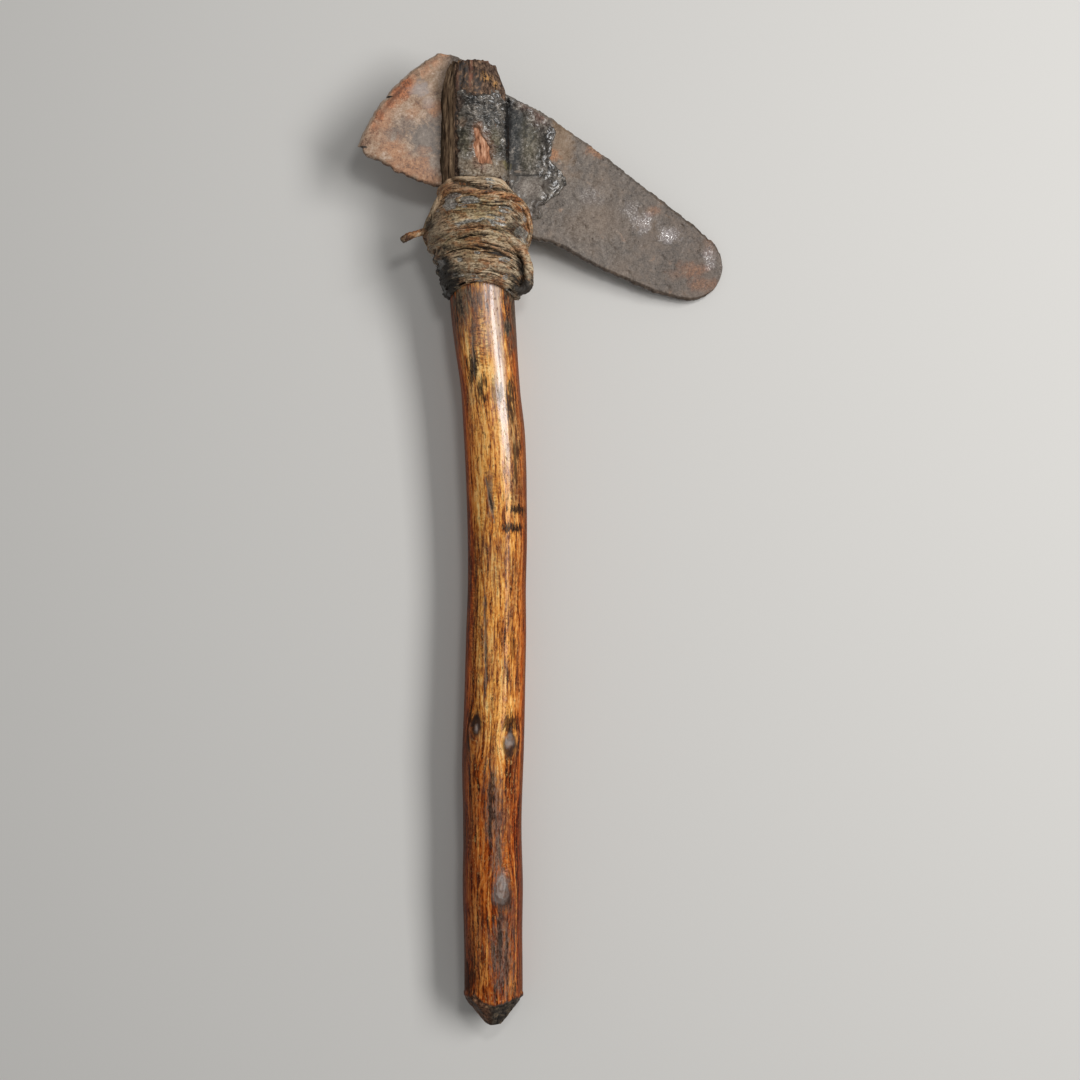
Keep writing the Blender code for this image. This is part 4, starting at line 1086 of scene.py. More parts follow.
def haft_surface(u, v):
    """The whole haft from the tip of the butt to the weathered top of the head."""
    heights = [0.0, 0.0] + rings_of(HAFT_RINGS) + [HAFT_TOP] * len(TOP_SHARES)
    shares = [0.0, 0.5] + [1.0] * (len(heights) - 2 - len(TOP_SHARES)) + list(TOP_SHARES)
    ring = np.rint(v * (len(heights) - 1)).astype(int)
    height = np.array(heights, float)[ring]
    share = np.array(shares)[ring]
    turn = 2 * math.pi * u - FRONT
    straight = rolled(turn, height, GRAIN_RADIUS)
    radius = haft_radius(turn, height)
    head = smooth(height, *ROUGH_HEAD)
    for way, reach in CHEEK_FLATS:
        radius = radius - head * np.maximum(radius - flat_radius(turn, way, reach), 0.0)
    above_lip = height - lip_line(turn, straight, radius)
    chopped = (1 - smooth(above_lip, 0.6, 2.2)) * uneven(straight, CHOPPED_RELIEF)
    relief = uneven(straight, WOOD_RELIEF) + head * uneven(straight, HEAD_RELIEF)
    relief = relief * smooth(height, *WHOLE_WOOD) + chopped * smooth(height, 0.0, 3.0)
    relief = relief + LIP_RISE * bell(above_lip / 1.2) - LIP_UNDERCUT * bell(above_lip + 2.2)
    for knot in KNOTS:
        apart, above = knot_apart(turn, height, knot)
        away = np.sqrt((apart / knot[4]) ** 2 + (above / knot[3]) ** 2)
        relief = relief - KNOT_GROOVE * bell((away - 0.85) / 0.22)
        relief = relief - KNOT_HOLLOW * bell(apart / 3.0, (above - 1.25 * knot[3]) / 3.5)
    spot = around_haft(turn, height, radius)
    split = cracked(spot, straight, height)
    relief = relief - CRACK_DEPTH * split
    lift = (1 - share) * (1.2 * lumps(straight, 6.0, 1.0) + 0.9)
    jagged = head * smooth(height, *JAGGED_TOP) * 1.3 * lumps(straight, (2.6, 8, 2.6), 8.0)
    points = around_haft(turn, height, (radius + relief) * share)
    points[:, 1] += np.where(height > DEEPER_FROM, lift + jagged, 0.0)
    return points, {
        "grain": grain_place(turn, height), "split": split, "head": smooth(height, *CHARRED_HEAD),
        # polish carries the painted highlight line
        "vein": veined(spot, straight, height), "polish": polished(spot, height),
        "lip": bell((above_lip - 1.2) / 1.3), "butt": 1 - smooth(above_lip, -1.2, 0.4),
    }


def slot_surface(u, v):
    """A bar with a ragged split surface, as wide as the slot and open above the head."""
    lower, _ = blade_rails()
    dense = lower[0][(lower[0][:, 0] > SLOT_FROM) & (lower[0][:, 0] < SLOT_TO)]
    x = np.interp(v, np.linspace(0, 1, len(dense)), dense[:, 0])
    foot = np.interp(v, np.linspace(0, 1, len(dense)), dense[:, 1]) - SLOT_UNDER
    top = HAFT_TOP + SLOT_ABOVE
    side = np.interp(u, SLOT_CORNERS, [0, 1, 1, 0, 0])
    z = SLOT_HALF * np.interp(u, SLOT_CORNERS, [1, 1, -1, -1, 1])
    ends = np.minimum(1.0, np.minimum(v, 1 - v) * 1e6)
    points = stacked(x, foot + (top - foot) * side, z * ends)
    ragged = SLOT_RELIEF * lumps(points, (2.5, 24, 40), 3.0) * (np.abs(z) > SLOT_HALF - 0.1)
    points[:, 2] += ragged * np.sign(points[:, 2])
    marks = dict.fromkeys(("split", "vein", "polish", "lip", "butt"), np.zeros(len(points)))
    return points, {"grain": points + (0, 0, GRAIN_RADIUS), "head": np.ones(len(points)), **marks}


# Blade


# Relief of the faces, as (height, lump size, seed), and of the ragged edges
BLADE_RELIEF = [(0.20, 21.0, 3.0), (0.07, 5.5, 8.0), (0.09, 2.0, 5.0)]
END_RELIEF = [(0.7, 4.0, 2.0), (0.3, 1.5, 4.0)]

PIT_DEPTH = 0.22
FLAKE_DEPTH = 0.12

# How far in from an edge its raggedness fades out
RAGGED_REACH = 2.5

# Notches in the ground end, as (x, height, half width, half height, depth)
NOTCHES = [(-62.0, 555.2, 1.6, 0.8, 1.2), (-69.0, 544.0, 1.6, 1.4, 0.8)]

# A slit in the ground end: its place as (x, height), and its depth
SLIT = (-59.6, 556.0)
SLIT_DEPTH = 0.9


def blade_surface(u, v):
    """Both faces and the edges of the plate, from the ground end to the rounded end."""
    lower, upper = blade_rails()
    ribs = [0.0, 0.0] + list(np.linspace(0, GRIND_SHARE, 8)[1:])
    ribs += list(np.linspace(GRIND_SHARE, 1, BLADE_RIBS - len(ribs) + 2)[1:])
    rib = np.rint(v * BLADE_RIBS).astype(int)
    share = np.array(ribs)[rib]
    fullness = np.ones(BLADE_RIBS + 1)
    fullness[0] = fullness[-1] = 0.0
    fullness[-3:-1] = (0.85, 0.6)
    low = read_path(lower, share)
    high = read_path(upper, share)
    across = np.interp(u, BLADE_CORNERS, [0, 1, 1, 0, 0])
    face = np.interp(u, BLADE_CORNERS, [1, 1, -1, -1, 1])
    chord = high - low
    length = np.linalg.norm(chord, axis=1)
    first = upper[0][0] - lower[0][0]
    outward = np.array([-first[1], first[0]]) / np.linalg.norm(first)
    inward = np.maximum(0.0, 1 - np.linalg.norm(low - lower[0][0], axis=1) / BULGE_FADE)
    bulge = CUTTING_EDGE_BULGE * 4 * across * (1 - across) * inward
    place = low + chord * across[:, None] + outward * bulge[:, None]
    x, y = place.T
    thin = np.maximum(0.0, (x - FLAT_TO) / (TIP_CENTRE[0] + TIP_RADIUS - FLAT_TO))
    half = BLADE_THICKNESS / 2 - TIP_THINNING * thin**1.5
    half = half - GRIND_THINNING * np.maximum(0.0, (FLAT_FROM - x) / GRIND_REACH)
    from_edge = np.minimum(across, 1 - across) * length
    rim = smooth(from_edge, 0.0, RIM_WIDTH * 1.3)
    half = RIM_THICKNESS / 2 + (half - RIM_THICKNESS / 2) * rim
    edge_half = CUTTING_EDGE_THICKNESS / 2
    ground = smooth(share, GRIND_SHARE, 0.0)
    half = edge_half + (half - edge_half) * smooth(share, -GRIND_SHARE * 0.3, GRIND_SHARE)
    flat = stacked(x, y, 3.0 * np.sign(face))
    relief = uneven(flat, BLADE_RELIEF) - PIT_DEPTH * smooth(scattered(flat, 6.0, 2.0), 0.22, 0.05)
    relief = relief - FLAKE_DEPTH * smooth(lumps(flat, 9.0, 12.0), 0.20, 0.27)
    half = half * fullness[rib]
    off = x - SLIT[0]
    relief = relief - SLIT_DEPTH * bell(off / 2.8, (y - SLIT[1] - 0.25 * off) / 0.6)
    z = face * half + np.sign(face) * relief * rim * smooth(share, 0.0, GRIND_SHARE) * fullness[rib]
    outline = flat * (1, 1, 0)
    ragged = np.where(x < -28, 1.5, 0.75) * lumps(outline, 5.0, 6.0) + 0.5 * lumps(outline, 1.8, 1.0)
    notch = sum(deep * bell((x - x0) / wide, (y - y0) / tall) for x0, y0, wide, tall, deep in NOTCHES)
    outside = chord / np.maximum(length, 1e-6)[:, None] * np.sign(across - 0.5)[:, None]
    near_edge = np.exp(-from_edge / RAGGED_REACH) * smooth(length, 4.0, 16.0)
    place = place + outside * (ragged * near_edge)[:, None]
    end_ragged = uneven(outline, END_RELIEF) - notch
    place = place + outward * (end_ragged * smooth(share, 0.05, 0.0))[:, None]
    points = stacked(place[:, 0], place[:, 1], z)
    line = bell((share - GRIND_SHARE * 1.7) / (GRIND_SHARE * 0.5))
    worst = bell((y - SLIT[1]) / 12.0)
    # edge: where painted shade lies along the edges, strongest on the lower edge
    edge = smooth(from_edge, 1.2, 0.2) * smooth(share, 0.01, 0.03)
    return points, {
        "ground": ground, "edge": edge * np.where(across < 0.5, 1.0, 0.3),
        "grind_line": line * np.maximum(worst, 0.7 * smooth(lumps(flat, 9.0, 5.0), -0.1, 0.2)),
        "rust_band": smooth(share, 0.006, 0.014) * smooth(share, 0.050, 0.020) * smooth(y, 524.0, 540.0),
    }


# Gum


# Patch on the blade: its right and left sides as (height, x), its foot, its height, and how far the crust
# dips under beyond its sides
BLADE_GUM_RIGHT = [
    (480.5, 29.0), (483.5, 31.6), (487.0, 31.8), (489.5, 30.4), (491.6, 33.0), (494.4, 37.5),
    (500.4, 43.6), (506.4, 45.6), (511.2, 43.6), (514.8, 39.5), (519.4, 36.4), (524.4, 38.2),
    (533.4, 39.6), (541.2, 36.0), (547.2, 29.0), (556.0, 12.9),
]
BLADE_GUM_LEFT = [(481.5, 25.0), (487.0, 22.6), (494.0, 19.0), (500.0, 14.4), (506.0, 12.2), (556.0, 11.9)]
BLADE_GUM_FOOT = 478.5
BLADE_GUM_TALL = 80.0
BLADE_GUM_MARGIN = 3.5

# Crust on a cheek: direction in degrees where it starts and how far it goes round, its foot and its height
CHEEK_GUM_WAY = 2
CHEEK_GUM_ROUND = 130
CHEEK_GUM_FOOT = 502.0
CHEEK_GUM_TALL = 58.0
GUM_SUNK = -1.3
GUM_UNDERSIDE = 0.6
THICKEST_GUM = 3.4
GUM_RIM_STEEPNESS = 14
GUM_COLUMNS = 200
GUM_ROWS = 150
CHEEK_GUM_RAGGED = [(4, (9, 5, 9), 3.0), (2, 3.0, 5.0)]


def warped(points, size, by):
    """Points pushed about, so that lumps laid on them look crumpled."""
    return points + by * stacked(lumps(points, size, 31.0), lumps(points, size, 47.0), 0)


def crust(u, v, bed):
    """A crust of gum: bed gives, for shares across and up, the points under it, outward, and its thickness.

    Where the thickness is below zero the crust dips under what it lies on, and its rim closes there.
    """
    across = np.interp(u, [0, 0.5, 1], [0, 1, 0])
    under, outward, thick = bed(across, v)
    rim = np.minimum(np.minimum(across, 1 - across), np.minimum(v, 1 - v))
    rim = np.minimum(1.0, rim * GUM_RIM_STEEPNESS)
    thick = GUM_SUNK + (thick - GUM_SUNK) * smooth(rim, 0.0, 1.0)
    depth = np.where(u <= 0.5, thick, GUM_SUNK - GUM_UNDERSIDE * smooth(rim, 0.0, 0.4))
    depth = np.where(rim <= 1e-9, GUM_SUNK, depth)
    return under + outward * depth[:, None], {}


def cheek_gum(side, seed):
    """Crust on one half of the split head: side is 1 for the front and -1 for the back."""
    def bed(across, up):
        turn = side * np.radians(CHEEK_GUM_WAY + CHEEK_GUM_ROUND * across)
        height = CHEEK_GUM_FOOT + CHEEK_GUM_TALL * up
        radius = haft_radius(turn, height)
        for way, reach in CHEEK_FLATS:
            radius = np.minimum(radius, flat_radius(turn, way, reach))
        under = around_haft(turn, height, radius)
        crumpled = warped(under, 6.0, 1.6)
        ripples = np.abs(lumps(crumpled, (7.5, 3.2, 7.5), seed))
        lumpy = np.abs(lumps(crumpled, (3.4, 2.1, 3.4), seed + 3))
        low = smooth(height + 3 * lumps(under, 7.0, 1.0), 523.0, 514.0)
        thick = 0.55 + 1.0 * lumps(under, 10.0, seed) + 3.3 * ripples * (1 - 0.6 * low) + 1.5 * lumpy
        thick = thick + 0.22 * lumps(under, 1.3, seed)
        ragged = uneven(under, CHEEK_GUM_RAGGED)
        way = np.degrees(side * turn) + 1.2 * ragged
        thick = np.maximum(thick - 1.6 * smooth(way, 34.0, 14.0), 0.3) - 3.4 * smooth(way, 113.0, 121.0)
        thick = thick - 3.4 * smooth(height + ragged, 551.0, 557.0)
        if side > 0:
            # Where the gum has fallen off: a place that leans left and is wider low down
            middle = -5.0 - 0.27 * (height - 523.0)
            half = 1.4 + 2.6 * smooth(height, 533.0, 520.0)
            away = np.abs(under[:, 0] - middle + 1.2 * lumps(under, (9, 4, 9), 9.0)) / half
            ends = smooth(height, 535.0, 529.0) * smooth(height, 511.0, 514.0)
            thick = thick - 4.8 * smooth(away, 1.15, 0.8) * ends
        return under, rolled(turn, 0.0), np.clip(thick, GUM_SUNK, THICKEST_GUM)
    return bed


def blade_gum(side, seed):
    """Patch in the corner between the cheek and the blade's right arm."""
    def bed(across, up):
        height = BLADE_GUM_FOOT + BLADE_GUM_TALL * up
        left = curve(BLADE_GUM_LEFT, height) - BLADE_GUM_MARGIN
        right = curve(BLADE_GUM_RIGHT, height) + BLADE_GUM_MARGIN
        x = left + (right - left) * across
        limit = np.interp(x, *np.array(UPPER_EDGE).T) - 0.3 - 0.9 * smooth(x, 26.0, 32.0)
        height = np.minimum(height, limit)
        under = stacked(x, height, side * (BLADE_THICKNESS / 2 - 0.2))
        inside = right - BLADE_GUM_MARGIN - x
        inside = inside + 1.8 * lumps(under, 5.0, seed + 5) + 0.9 * lumps(under, 2.0, seed)
        thick = np.maximum(0.8 + 0.7 * lumps(under, 10.0, seed) + 0.25 * lumps(under, 2.6, seed + 1), 0.45)
        crumpled = warped(under, 5.0, 1.2)
        beads = np.abs(lumps(crumpled, 5.6, seed)) + 0.30 * np.abs(lumps(crumpled, 2.6, seed + 2))
        low = smooth(height, 514.0, 508.0) * smooth(x, 24.0, 30.0)
        band = np.maximum(bell((inside - 5.0) / 4.6), low)
        band = np.maximum(band, bell((x - 29.7) / 4.0, (height - 498.3) / 2.8))
        thick = thick + band * (0.1 + 2.6 * beads)
        crack = bell((height - 510.5 + 0.10 * (x - 20)) / 0.7) * smooth(x, 12.0, 16.0)
        thick = thick - 0.4 * crack * smooth(x, 38.0, 32.0)
        upper = smooth(limit - height + 0.4 * lumps(under, 3.0, 7.0), 0.0, 1.2)
        edge = smooth(inside, -0.6, 2.0) * upper * smooth(height, 479.5, 482.0)
        return under, np.array([[0, 0, side]]), GUM_SUNK + (thick - GUM_SUNK) * edge
    return bed


# Lashing


# Strands of the core, thin windings and loose fibres
STRANDS = 430
THIN_WINDINGS = 116
LOOSE_FIBRES = 70
THREAD_SPACING = 3.7
WOUND_RADIUS = 24.0
LUMP_RADIUS = 22.0
CORE_BORE_SUNK = 0.6
CORE_THINNEST = 0.7
CORE_COLUMNS = 336
CORE_ROWS = 250
CORE_BORE_ROWS = 8


def crevice_at(turn, height):
    """How open the gap above the arching strand is, from 0 to 1."""
    way = np.degrees(wound(turn))
    apart = height - np.interp(way, *np.array(CREVICE).T)
    return bell(apart / CREVICE_HALF) * smooth(way, 0.0, 8.0) * smooth(way, 134.0, 124.0)


def strand_field(turn, height):
    """Short strands that lie over each other, on a grid of heights by directions.

    Gives the rise of the topmost strand, the place across it, its number and its tone.
    """
    draw = np.random.default_rng(11)
    field = np.full(height.shape, -1.0)
    across, owner, tone = [np.zeros(height.shape) for _ in range(3)]
    ring = stacked(1.3 * np.cos(turn), 1.3 * np.sin(turn), 0 * turn)
    for k in range(STRANDS):
        share = (k + 0.5) / STRANDS + draw.normal(0, 0.01)
        from_way, spread = draw.uniform(0, 2 * math.pi), draw.uniform(0.25, 1.4)
        lean, half = draw.normal(0, 0.09), draw.uniform(0.4, 1.0)
        rise, shade = draw.uniform(0, 1.2), draw.uniform(0, 1)
        off = wound(turn - from_way)
        sway = 1.5 * lumps(ring, 1.0, 5.0 * share) + 0.4 * lumps(3 * ring, 1.0, 7.7 * k)
        centre = lashing_height(turn, share) + lean * WOUND_RADIUS * off + sway
        present = smooth(np.abs(off), spread, spread - 0.15)
        apart = (height - centre) / (half * (0.35 + 0.65 * present))
        level = rise + half * np.sqrt(np.maximum(0.0, 1 - apart**2))
        level = np.where((np.abs(apart) < 1) & (present > 0.05), level, -1.0)
        wins = level > field
        field = np.where(wins, level, field)
        across = np.where(wins, apart * half, across)
        owner = np.where(wins, k, owner)
        tone = np.where(wins, shade, tone)
    return field, across, owner, tone


# Smears of gum on the lashing: (x, height, half width, half height)
LASHING_GUM = [
    (-11.0, 489.0, 6.6, 2.8), (-22.0, 487.0, 4.5, 4.5), (5.0, 477.0, 7.0, 3.4), (10.0, 484.0, 5.0, 2.4),
    (19.0, 471.0, 4.5, 4.5), (9.0, 455.0, 4.0, 2.0),
]


def smeared(spot, height, round_about):
    """How thickly gum is smeared over the lashing, from 0 to 1."""
    gummed = smooth(lumps(round_about, (8, 5, 8), 5.0), 0.26, 0.46)
    ragged = 0.35 * lumps(round_about, 3.0, 2.0)
    for x, middle, wide, tall in LASHING_GUM:
        away = np.sqrt(((spot[:, 0] - x) / wide) ** 2 + ((height - middle) / tall) ** 2)
        gummed = np.maximum(gummed, smooth(away + ragged, 1.1, 0.75) * (spot[:, 2] > 0))
    return gummed


def core_surface(u, v):
    """The wound mass of fibre and gum, as short strands that lie over each other round the haft."""
    outside = np.linspace(0, 1, CORE_ROWS - CORE_BORE_ROWS)
    inside = np.linspace(1, 0, CORE_BORE_ROWS)
    shares = np.concatenate([[0.0], outside, inside])
    turns = 2 * math.pi * np.arange(CORE_COLUMNS + 1) / CORE_COLUMNS - FRONT
    drawn = strand_field(turns, lashing_height(turns, shares[:, None]))
    row = np.rint(v * CORE_ROWS).astype(int)
    column = np.rint(u * CORE_COLUMNS).astype(int)
    field, across, owner, tone = [grid[row, column] for grid in drawn]
    turn, share = turns[column], shares[row]
    bored = np.array([1] + [0] * len(outside) + [1] * len(inside))[row]
    height = lashing_height(turn, share)
    round_about = rolled(turn, height, LUMP_RADIUS)
    base = lashing_radius(turn, height)
    field = field + 0.3 * lumps(round_about, (2.4, 1.0, 2.4), 2.0)
    gummed = smeared(around_haft(turn, height, base), height, round_about)
    blob = 0.9 + 0.9 * lumps(round_about, 4.0, 9.0) + 0.5 * np.abs(lumps(round_about, 1.8, 6.0))
    field = field * (1 - gummed * 0.8) + gummed * blob
    field = field + 0.6 * lumps(round_about, 9.0, 3.0) - 0.5
    open_gap = crevice_at(turn, height)
    field = field - CREVICE_DEPTH * open_gap
    ends = smooth(np.minimum(share, 1 - share), 0.0, 0.035)
    radius = base + field - 1.3 * (1 - ends)
    bore = haft_radius(turn, height) - CORE_BORE_SUNK
    radius = np.where(bored > 0, bore, np.maximum(radius, bore + CORE_THINNEST))
    points = around_haft(turn, height, radius)
    thread = rolled(turn, across + owner * THREAD_SPACING, WOUND_RADIUS)
    # Painted shade where strands sink below their neighbours and in the crevice
    sunk = np.maximum(smooth(field, -0.45, -1.1) * (1 - gummed), open_gap)
    return points, {"thread": thread, "tone": tone, "sunk": sunk, "gummed": gummed}


def strand(name, path, outward, width, thick, tone, seed, sides, twist=0.0, ends=0.06, sunk=0.0):
    """A flattened bundle of fibres along a path; width and thick are full sizes at each point."""
    rows = len(path) - 1
    ahead = unit(np.gradient(path, axis=0))
    outward = unit(outward - ahead * np.einsum("ij,ij->i", outward, ahead)[:, None])
    aside = np.cross(ahead, outward)
    run = run_along(path)
    step = np.arange(rows + 1)
    taper = np.sqrt(np.clip(np.minimum(step, rows - step) / (ends * rows), 0, 1))
    sunk = np.zeros(rows + 1) + sunk

    def surface(u, v):
        row = np.rint(v * rows).astype(int)
        around = 2 * math.pi * u
        turned = around + twist * run[row]
        spot = rolled(around, run[row], 3)
        ridges = 1 + 0.10 * np.cos(5 * turned + seed) + 0.07 * np.cos(9 * turned + 2.0 * seed)
        ridges = ridges + 0.10 * lumps(spot, (1.2, 9, 1.2), seed)
        wide = 0.5 * width[row] * np.cos(around) * ridges * taper[row]
        tall = 0.5 * thick[row] * np.sin(around) * ridges * taper[row]
        points = path[row] + aside[row] * wide[:, None] + outward[row] * tall[:, None]
        thread = stacked(run[row], np.cos(around) * 0.5 * width[row] + 0.3 * turned + seed, seed * 5.1)
        flat = np.zeros(len(u))
        return points, {"thread": thread, "tone": flat + tone, "sunk": sunk[row], "gummed": flat}

    return wrapped(name, sides, rows, surface)


def winding(name, start, end, share_start, share_end, arch, width, thick, lift, tone, seed):
    """A flat bundle wound round the lashing, from one direction in degrees to another."""
    rows = max(20, round(abs(end - start) / 3.3))
    t = np.linspace(0, 1, rows + 1)
    turn = np.radians(start + (end - start) * t)
    along = stacked(t * (end - start) / 30, 0 * t, 0 * t)
    share = share_start + (share_end - share_start) * t + 0.02 * lumps(along, 1.0, seed)
    height = lashing_height(turn, np.clip(share, 0.01, 0.99)) + arch * np.sin(math.pi * t)
    radius = lashing_radius(turn, height) + lift + 0.45 * lumps(along, 0.7, seed + 9)
    open_gap = crevice_at(turn, height)
    radius = radius - CREVICE_DEPTH * 1.1 * open_gap
    path = around_haft(turn, height, radius)
    size = 1 + 0.5 * lumps(along, 0.8, seed + 20)
    return strand(name, path, rolled(turn, 0.0), width * size, thick * size, tone, seed, 9, sunk=open_gap)


def lashing_windings():
    """The windings that stand out, many thin ones between them, and loose ends of fibre."""
    rows = list(WINDINGS)
    draw = np.random.default_rng(5)
    for k in range(THIN_WINDINGS):
        share = (k + draw.uniform(0.2, 0.8)) / THIN_WINDINGS * 0.96 + 0.02
        start = draw.uniform(0, 360)
        length = draw.uniform(40, 190)
        lean = draw.normal(0, 0.05)
        limits = np.clip([share - lean, share + lean], 0.015, 0.985)
        rows.append((start, start + length, *limits, draw.normal(0, 1.0), draw.uniform(0.5, 1.15),
                     draw.uniform(0.5, 0.9), draw.uniform(-0.1, 0.7), draw.uniform(0, 1)))
    made = [winding(f"turn_{k}", *row, seed=3.1 * k + 1) for k, row in enumerate(rows)]
    t = np.linspace(0, 1, 9)
    for k in range(LOOSE_FIBRES):
        turn = draw.uniform(0, 2 * math.pi) + draw.choice([-1, 1]) * draw.uniform(3, 8) * t / WOUND_RADIUS
        height = lashing_height(turn, draw.uniform(0.03, 0.97)) + draw.normal(0, 2.0) * t
        radius = lashing_radius(turn, height) + 0.4 + draw.uniform(0.8, 2.6) * t**1.5
        path = around_haft(turn, height, radius)
        size = 0.5 * (1 - 0.75 * t)
        tone = draw.uniform(0.4, 1)
        made.append(strand(f"fibre_{k}", path, rolled(turn, 0.0), size, size, tone, 1.7 * k, 5))
    return made


# Windings: from and to direction in degrees, share up the lashing at both, arch, width, thickness, lift, tone
WINDINGS = [
    (-100, 262, 0.022, 0.030, 0.0, 1.3, 1.0, 0.2, 0.45), (-60, 300, 0.055, 0.065, 0.0, 1.2, 1.0, 0.2, 0.7),
    (20, 165, 0.16, 0.18, 1.5, 1.4, 1.0, 0.4, 0.8), (15, 150, 0.33, 0.36, 2.0, 1.3, 1.0, 0.5, 0.85),
    (18, 160, 0.42, 0.44, 2.0, 1.4, 1.0, 0.4, 0.75), (128, 66, 0.54, 0.59, 0.8, 2.2, 1.3, 0.8, 0.95),
    (20, 178, 0.980, 0.970, 0.3, 1.4, 1.0, 0.5, 0.95), (26, 170, 0.955, 0.985, 0.0, 1.3, 1.0, 0.5, 0.9),
    (40, 172, 0.985, 0.945, 0.0, 1.1, 0.9, 0.6, 0.8), (32, 120, 0.935, 0.965, 0.0, 1.2, 0.9, 0.6, 0.95),
    (120, 186, 0.86, 0.84, 1.2, 1.3, 1.0, 0.4, 0.85), (128, 184, 0.90, 0.87, 0.8, 1.2, 1.0, 0.5, 0.7),
    (140, 188, 0.82, 0.80, 1.2, 1.2, 1.0, 0.4, 0.9), (118, 180, 0.93, 0.90, 0.5, 1.2, 1.0, 0.5, 0.8),
    (185, 350, 0.955, 0.965, 0.0, 1.6, 1.1, 0.3, 0.7), (190, 345, 0.90, 0.88, 0.0, 1.5, 1.1, 0.3, 0.5),
]

# The thick strand that rises over the front cheek, as (direction in degrees, height, lift)
ARCH = [
    (190, 466.0, -0.6), (174, 474.0, 0.8), (160, 483.0, 1.1), (143, 492.0, 1.2), (125, 496.5, 1.2),
    (102, 494.8, 1.2), (85, 493.2, 1.2), (69, 492.6, 1.4), (46, 492.6, 1.4), (28, 490.6, 1.4),
    (19, 486.4, 1.3), (12, 480.0, 1.0), (5, 473.5, 0.4), (-6, 466.0, -1.0),
]

# The gap above it, as (direction in degrees, height)
CREVICE = [
    (6, 478.0), (12, 484.2), (20, 490.2), (30, 493.8), (46, 496.0), (69, 495.8), (85, 496.4), (105, 499.6),
    (128, 502.0),
]
CREVICE_HALF = 1.7
CREVICE_DEPTH = 4.2

# The stiff cut end on the left and the knot on the right, each as (x, y, z, width)
CUT_END = [
    (-30.0, 477.6, 3.0, 4.6), (-34.0, 476.4, 4.0, 5.6), (-39.0, 474.6, 5.0, 4.8), (-43.0, 473.2, 6.0, 4.4),
    (-48.0, 471.4, 6.4, 5.2), (-53.0, 469.0, 6.0, 4.8),
]
KNOT = [
    (9.0, 468.0, 20.5, 4.0), (15.0, 465.5, 20.0, 6.0), (20.0, 460.0, 17.0, 8.0), (22.4, 454.0, 14.0, 6.2),
    (23.2, 448.5, 12.0, 6.8), (22.6, 443.0, 11.0, 6.4), (20.6, 439.6, 11.0, 8.0), (16.5, 438.6, 12.5, 6.4),
    (13.2, 441.5, 14.0, 4.0),
]


def bundle(name, points, tones, seed, strands, rows, coil, fill):
    """A few strands twisted together along a path of (x, y, z, width) points."""
    t = np.linspace(0, 1, rows + 1)
    widths = np.interp(t, np.linspace(0, 1, len(points)), [p[3] for p in points])
    middle = read_path(dense_path([p[:3] for p in points]), t)
    ahead = unit(np.gradient(middle, axis=0))
    aside = unit(np.cross(ahead, np.array([0.1, 0.2, 1.0])))
    up = np.cross(aside, ahead)
    run = run_along(middle)
    made = []
    for k in range(strands):
        wander = stacked(run / 9, 0 * t, 0 * t)
        around = coil * run + 2 * math.pi * k / strands + 1.1 * lumps(wander, 1.0, seed + k)
        swing = aside * np.cos(around)[:, None] + up * np.sin(around)[:, None]
        own = middle + swing * (0.5 * widths * (1 - fill))[:, None]
        size = widths * fill * (1 + 0.4 * lumps(2 * wander, 1.0, seed + 7 * k))
        tone = tones[k % len(tones)]
        made.append(strand(f"{name}_{k}", own, swing, size * 1.15, size * 0.8, tone, seed + k, 14, 0.2, 0.05))
    return joined(name, made)


# Sizes and colours that a user would change


def colour_choice(name, description, rgb):
    return bpy.props.FloatVectorProperty(
        name=name, description=description, subtype="COLOR", size=3, min=0.0, max=1.0,
        default=scene_colour(rgb),
    )


def share_choice(name, description, value, high=1.0):
    return bpy.props.FloatProperty(name=name, description=description, min=0.0, max=high, default=value)


class AxeWoodLook(bpy.types.PropertyGroup):
    """Finish of the haft."""

    dark_grain: colour_choice("Dark grain", "Darkest streaks of the wood", (58, 28, 14))
    red_grain: colour_choice("Red grain", "Red-brown streaks", (132, 68, 27))
    orange_grain: colour_choice("Orange grain", "Commonest colour of the wood", (190, 116, 48))
    golden_grain: colour_choice("Golden grain", "Light streaks", (228, 162, 78))
    pale_grain: colour_choice("Pale grain", "Lightest streaks", (246, 204, 132))
    worn_grey: colour_choice("Worn grey", "Grey-brown where the polish is worn", (98, 82, 68))
    knot: colour_choice("Knots", "Heart of the knots", (160, 150, 144))
    gloss: share_choice("Polish", "Roughness of the polished wood", 0.19)
    grain_depth: share_choice("Grain depth", "Depth of the fine grain, in millimetres", 0.10)


class AxeIronLook(bpy.types.PropertyGroup):
    """Finish of the blade."""

    iron_dark: colour_choice("Dark iron", "Dark patches of the iron", (86, 77, 69))
    iron: colour_choice("Iron", "Commonest colour of the iron", (108, 98, 89))
    iron_pale: colour_choice("Pale iron", "Light patches of the iron", (128, 118, 108))
    rust: colour_choice("Rust", "Orange-brown rust", (158, 108, 74))
    iron_gloss: share_choice("Iron gloss", "Roughness of the iron without rust", 0.42)
    pit_depth: share_choice("Pit depth", "Depth of the fine pits, in millimetres", 0.14)


class AxeGumLook(bpy.types.PropertyGroup):
    """Finish of the gum."""

    gum: colour_choice("Gum", "Commonest colour of the gum", (66, 61, 56))
    gum_gloss: share_choice("Gum gloss", "Roughness of the shiny gum", 0.30)
    crackle_depth: share_choice("Crackle depth", "Depth of the fine crackle, in millimetres", 0.14)


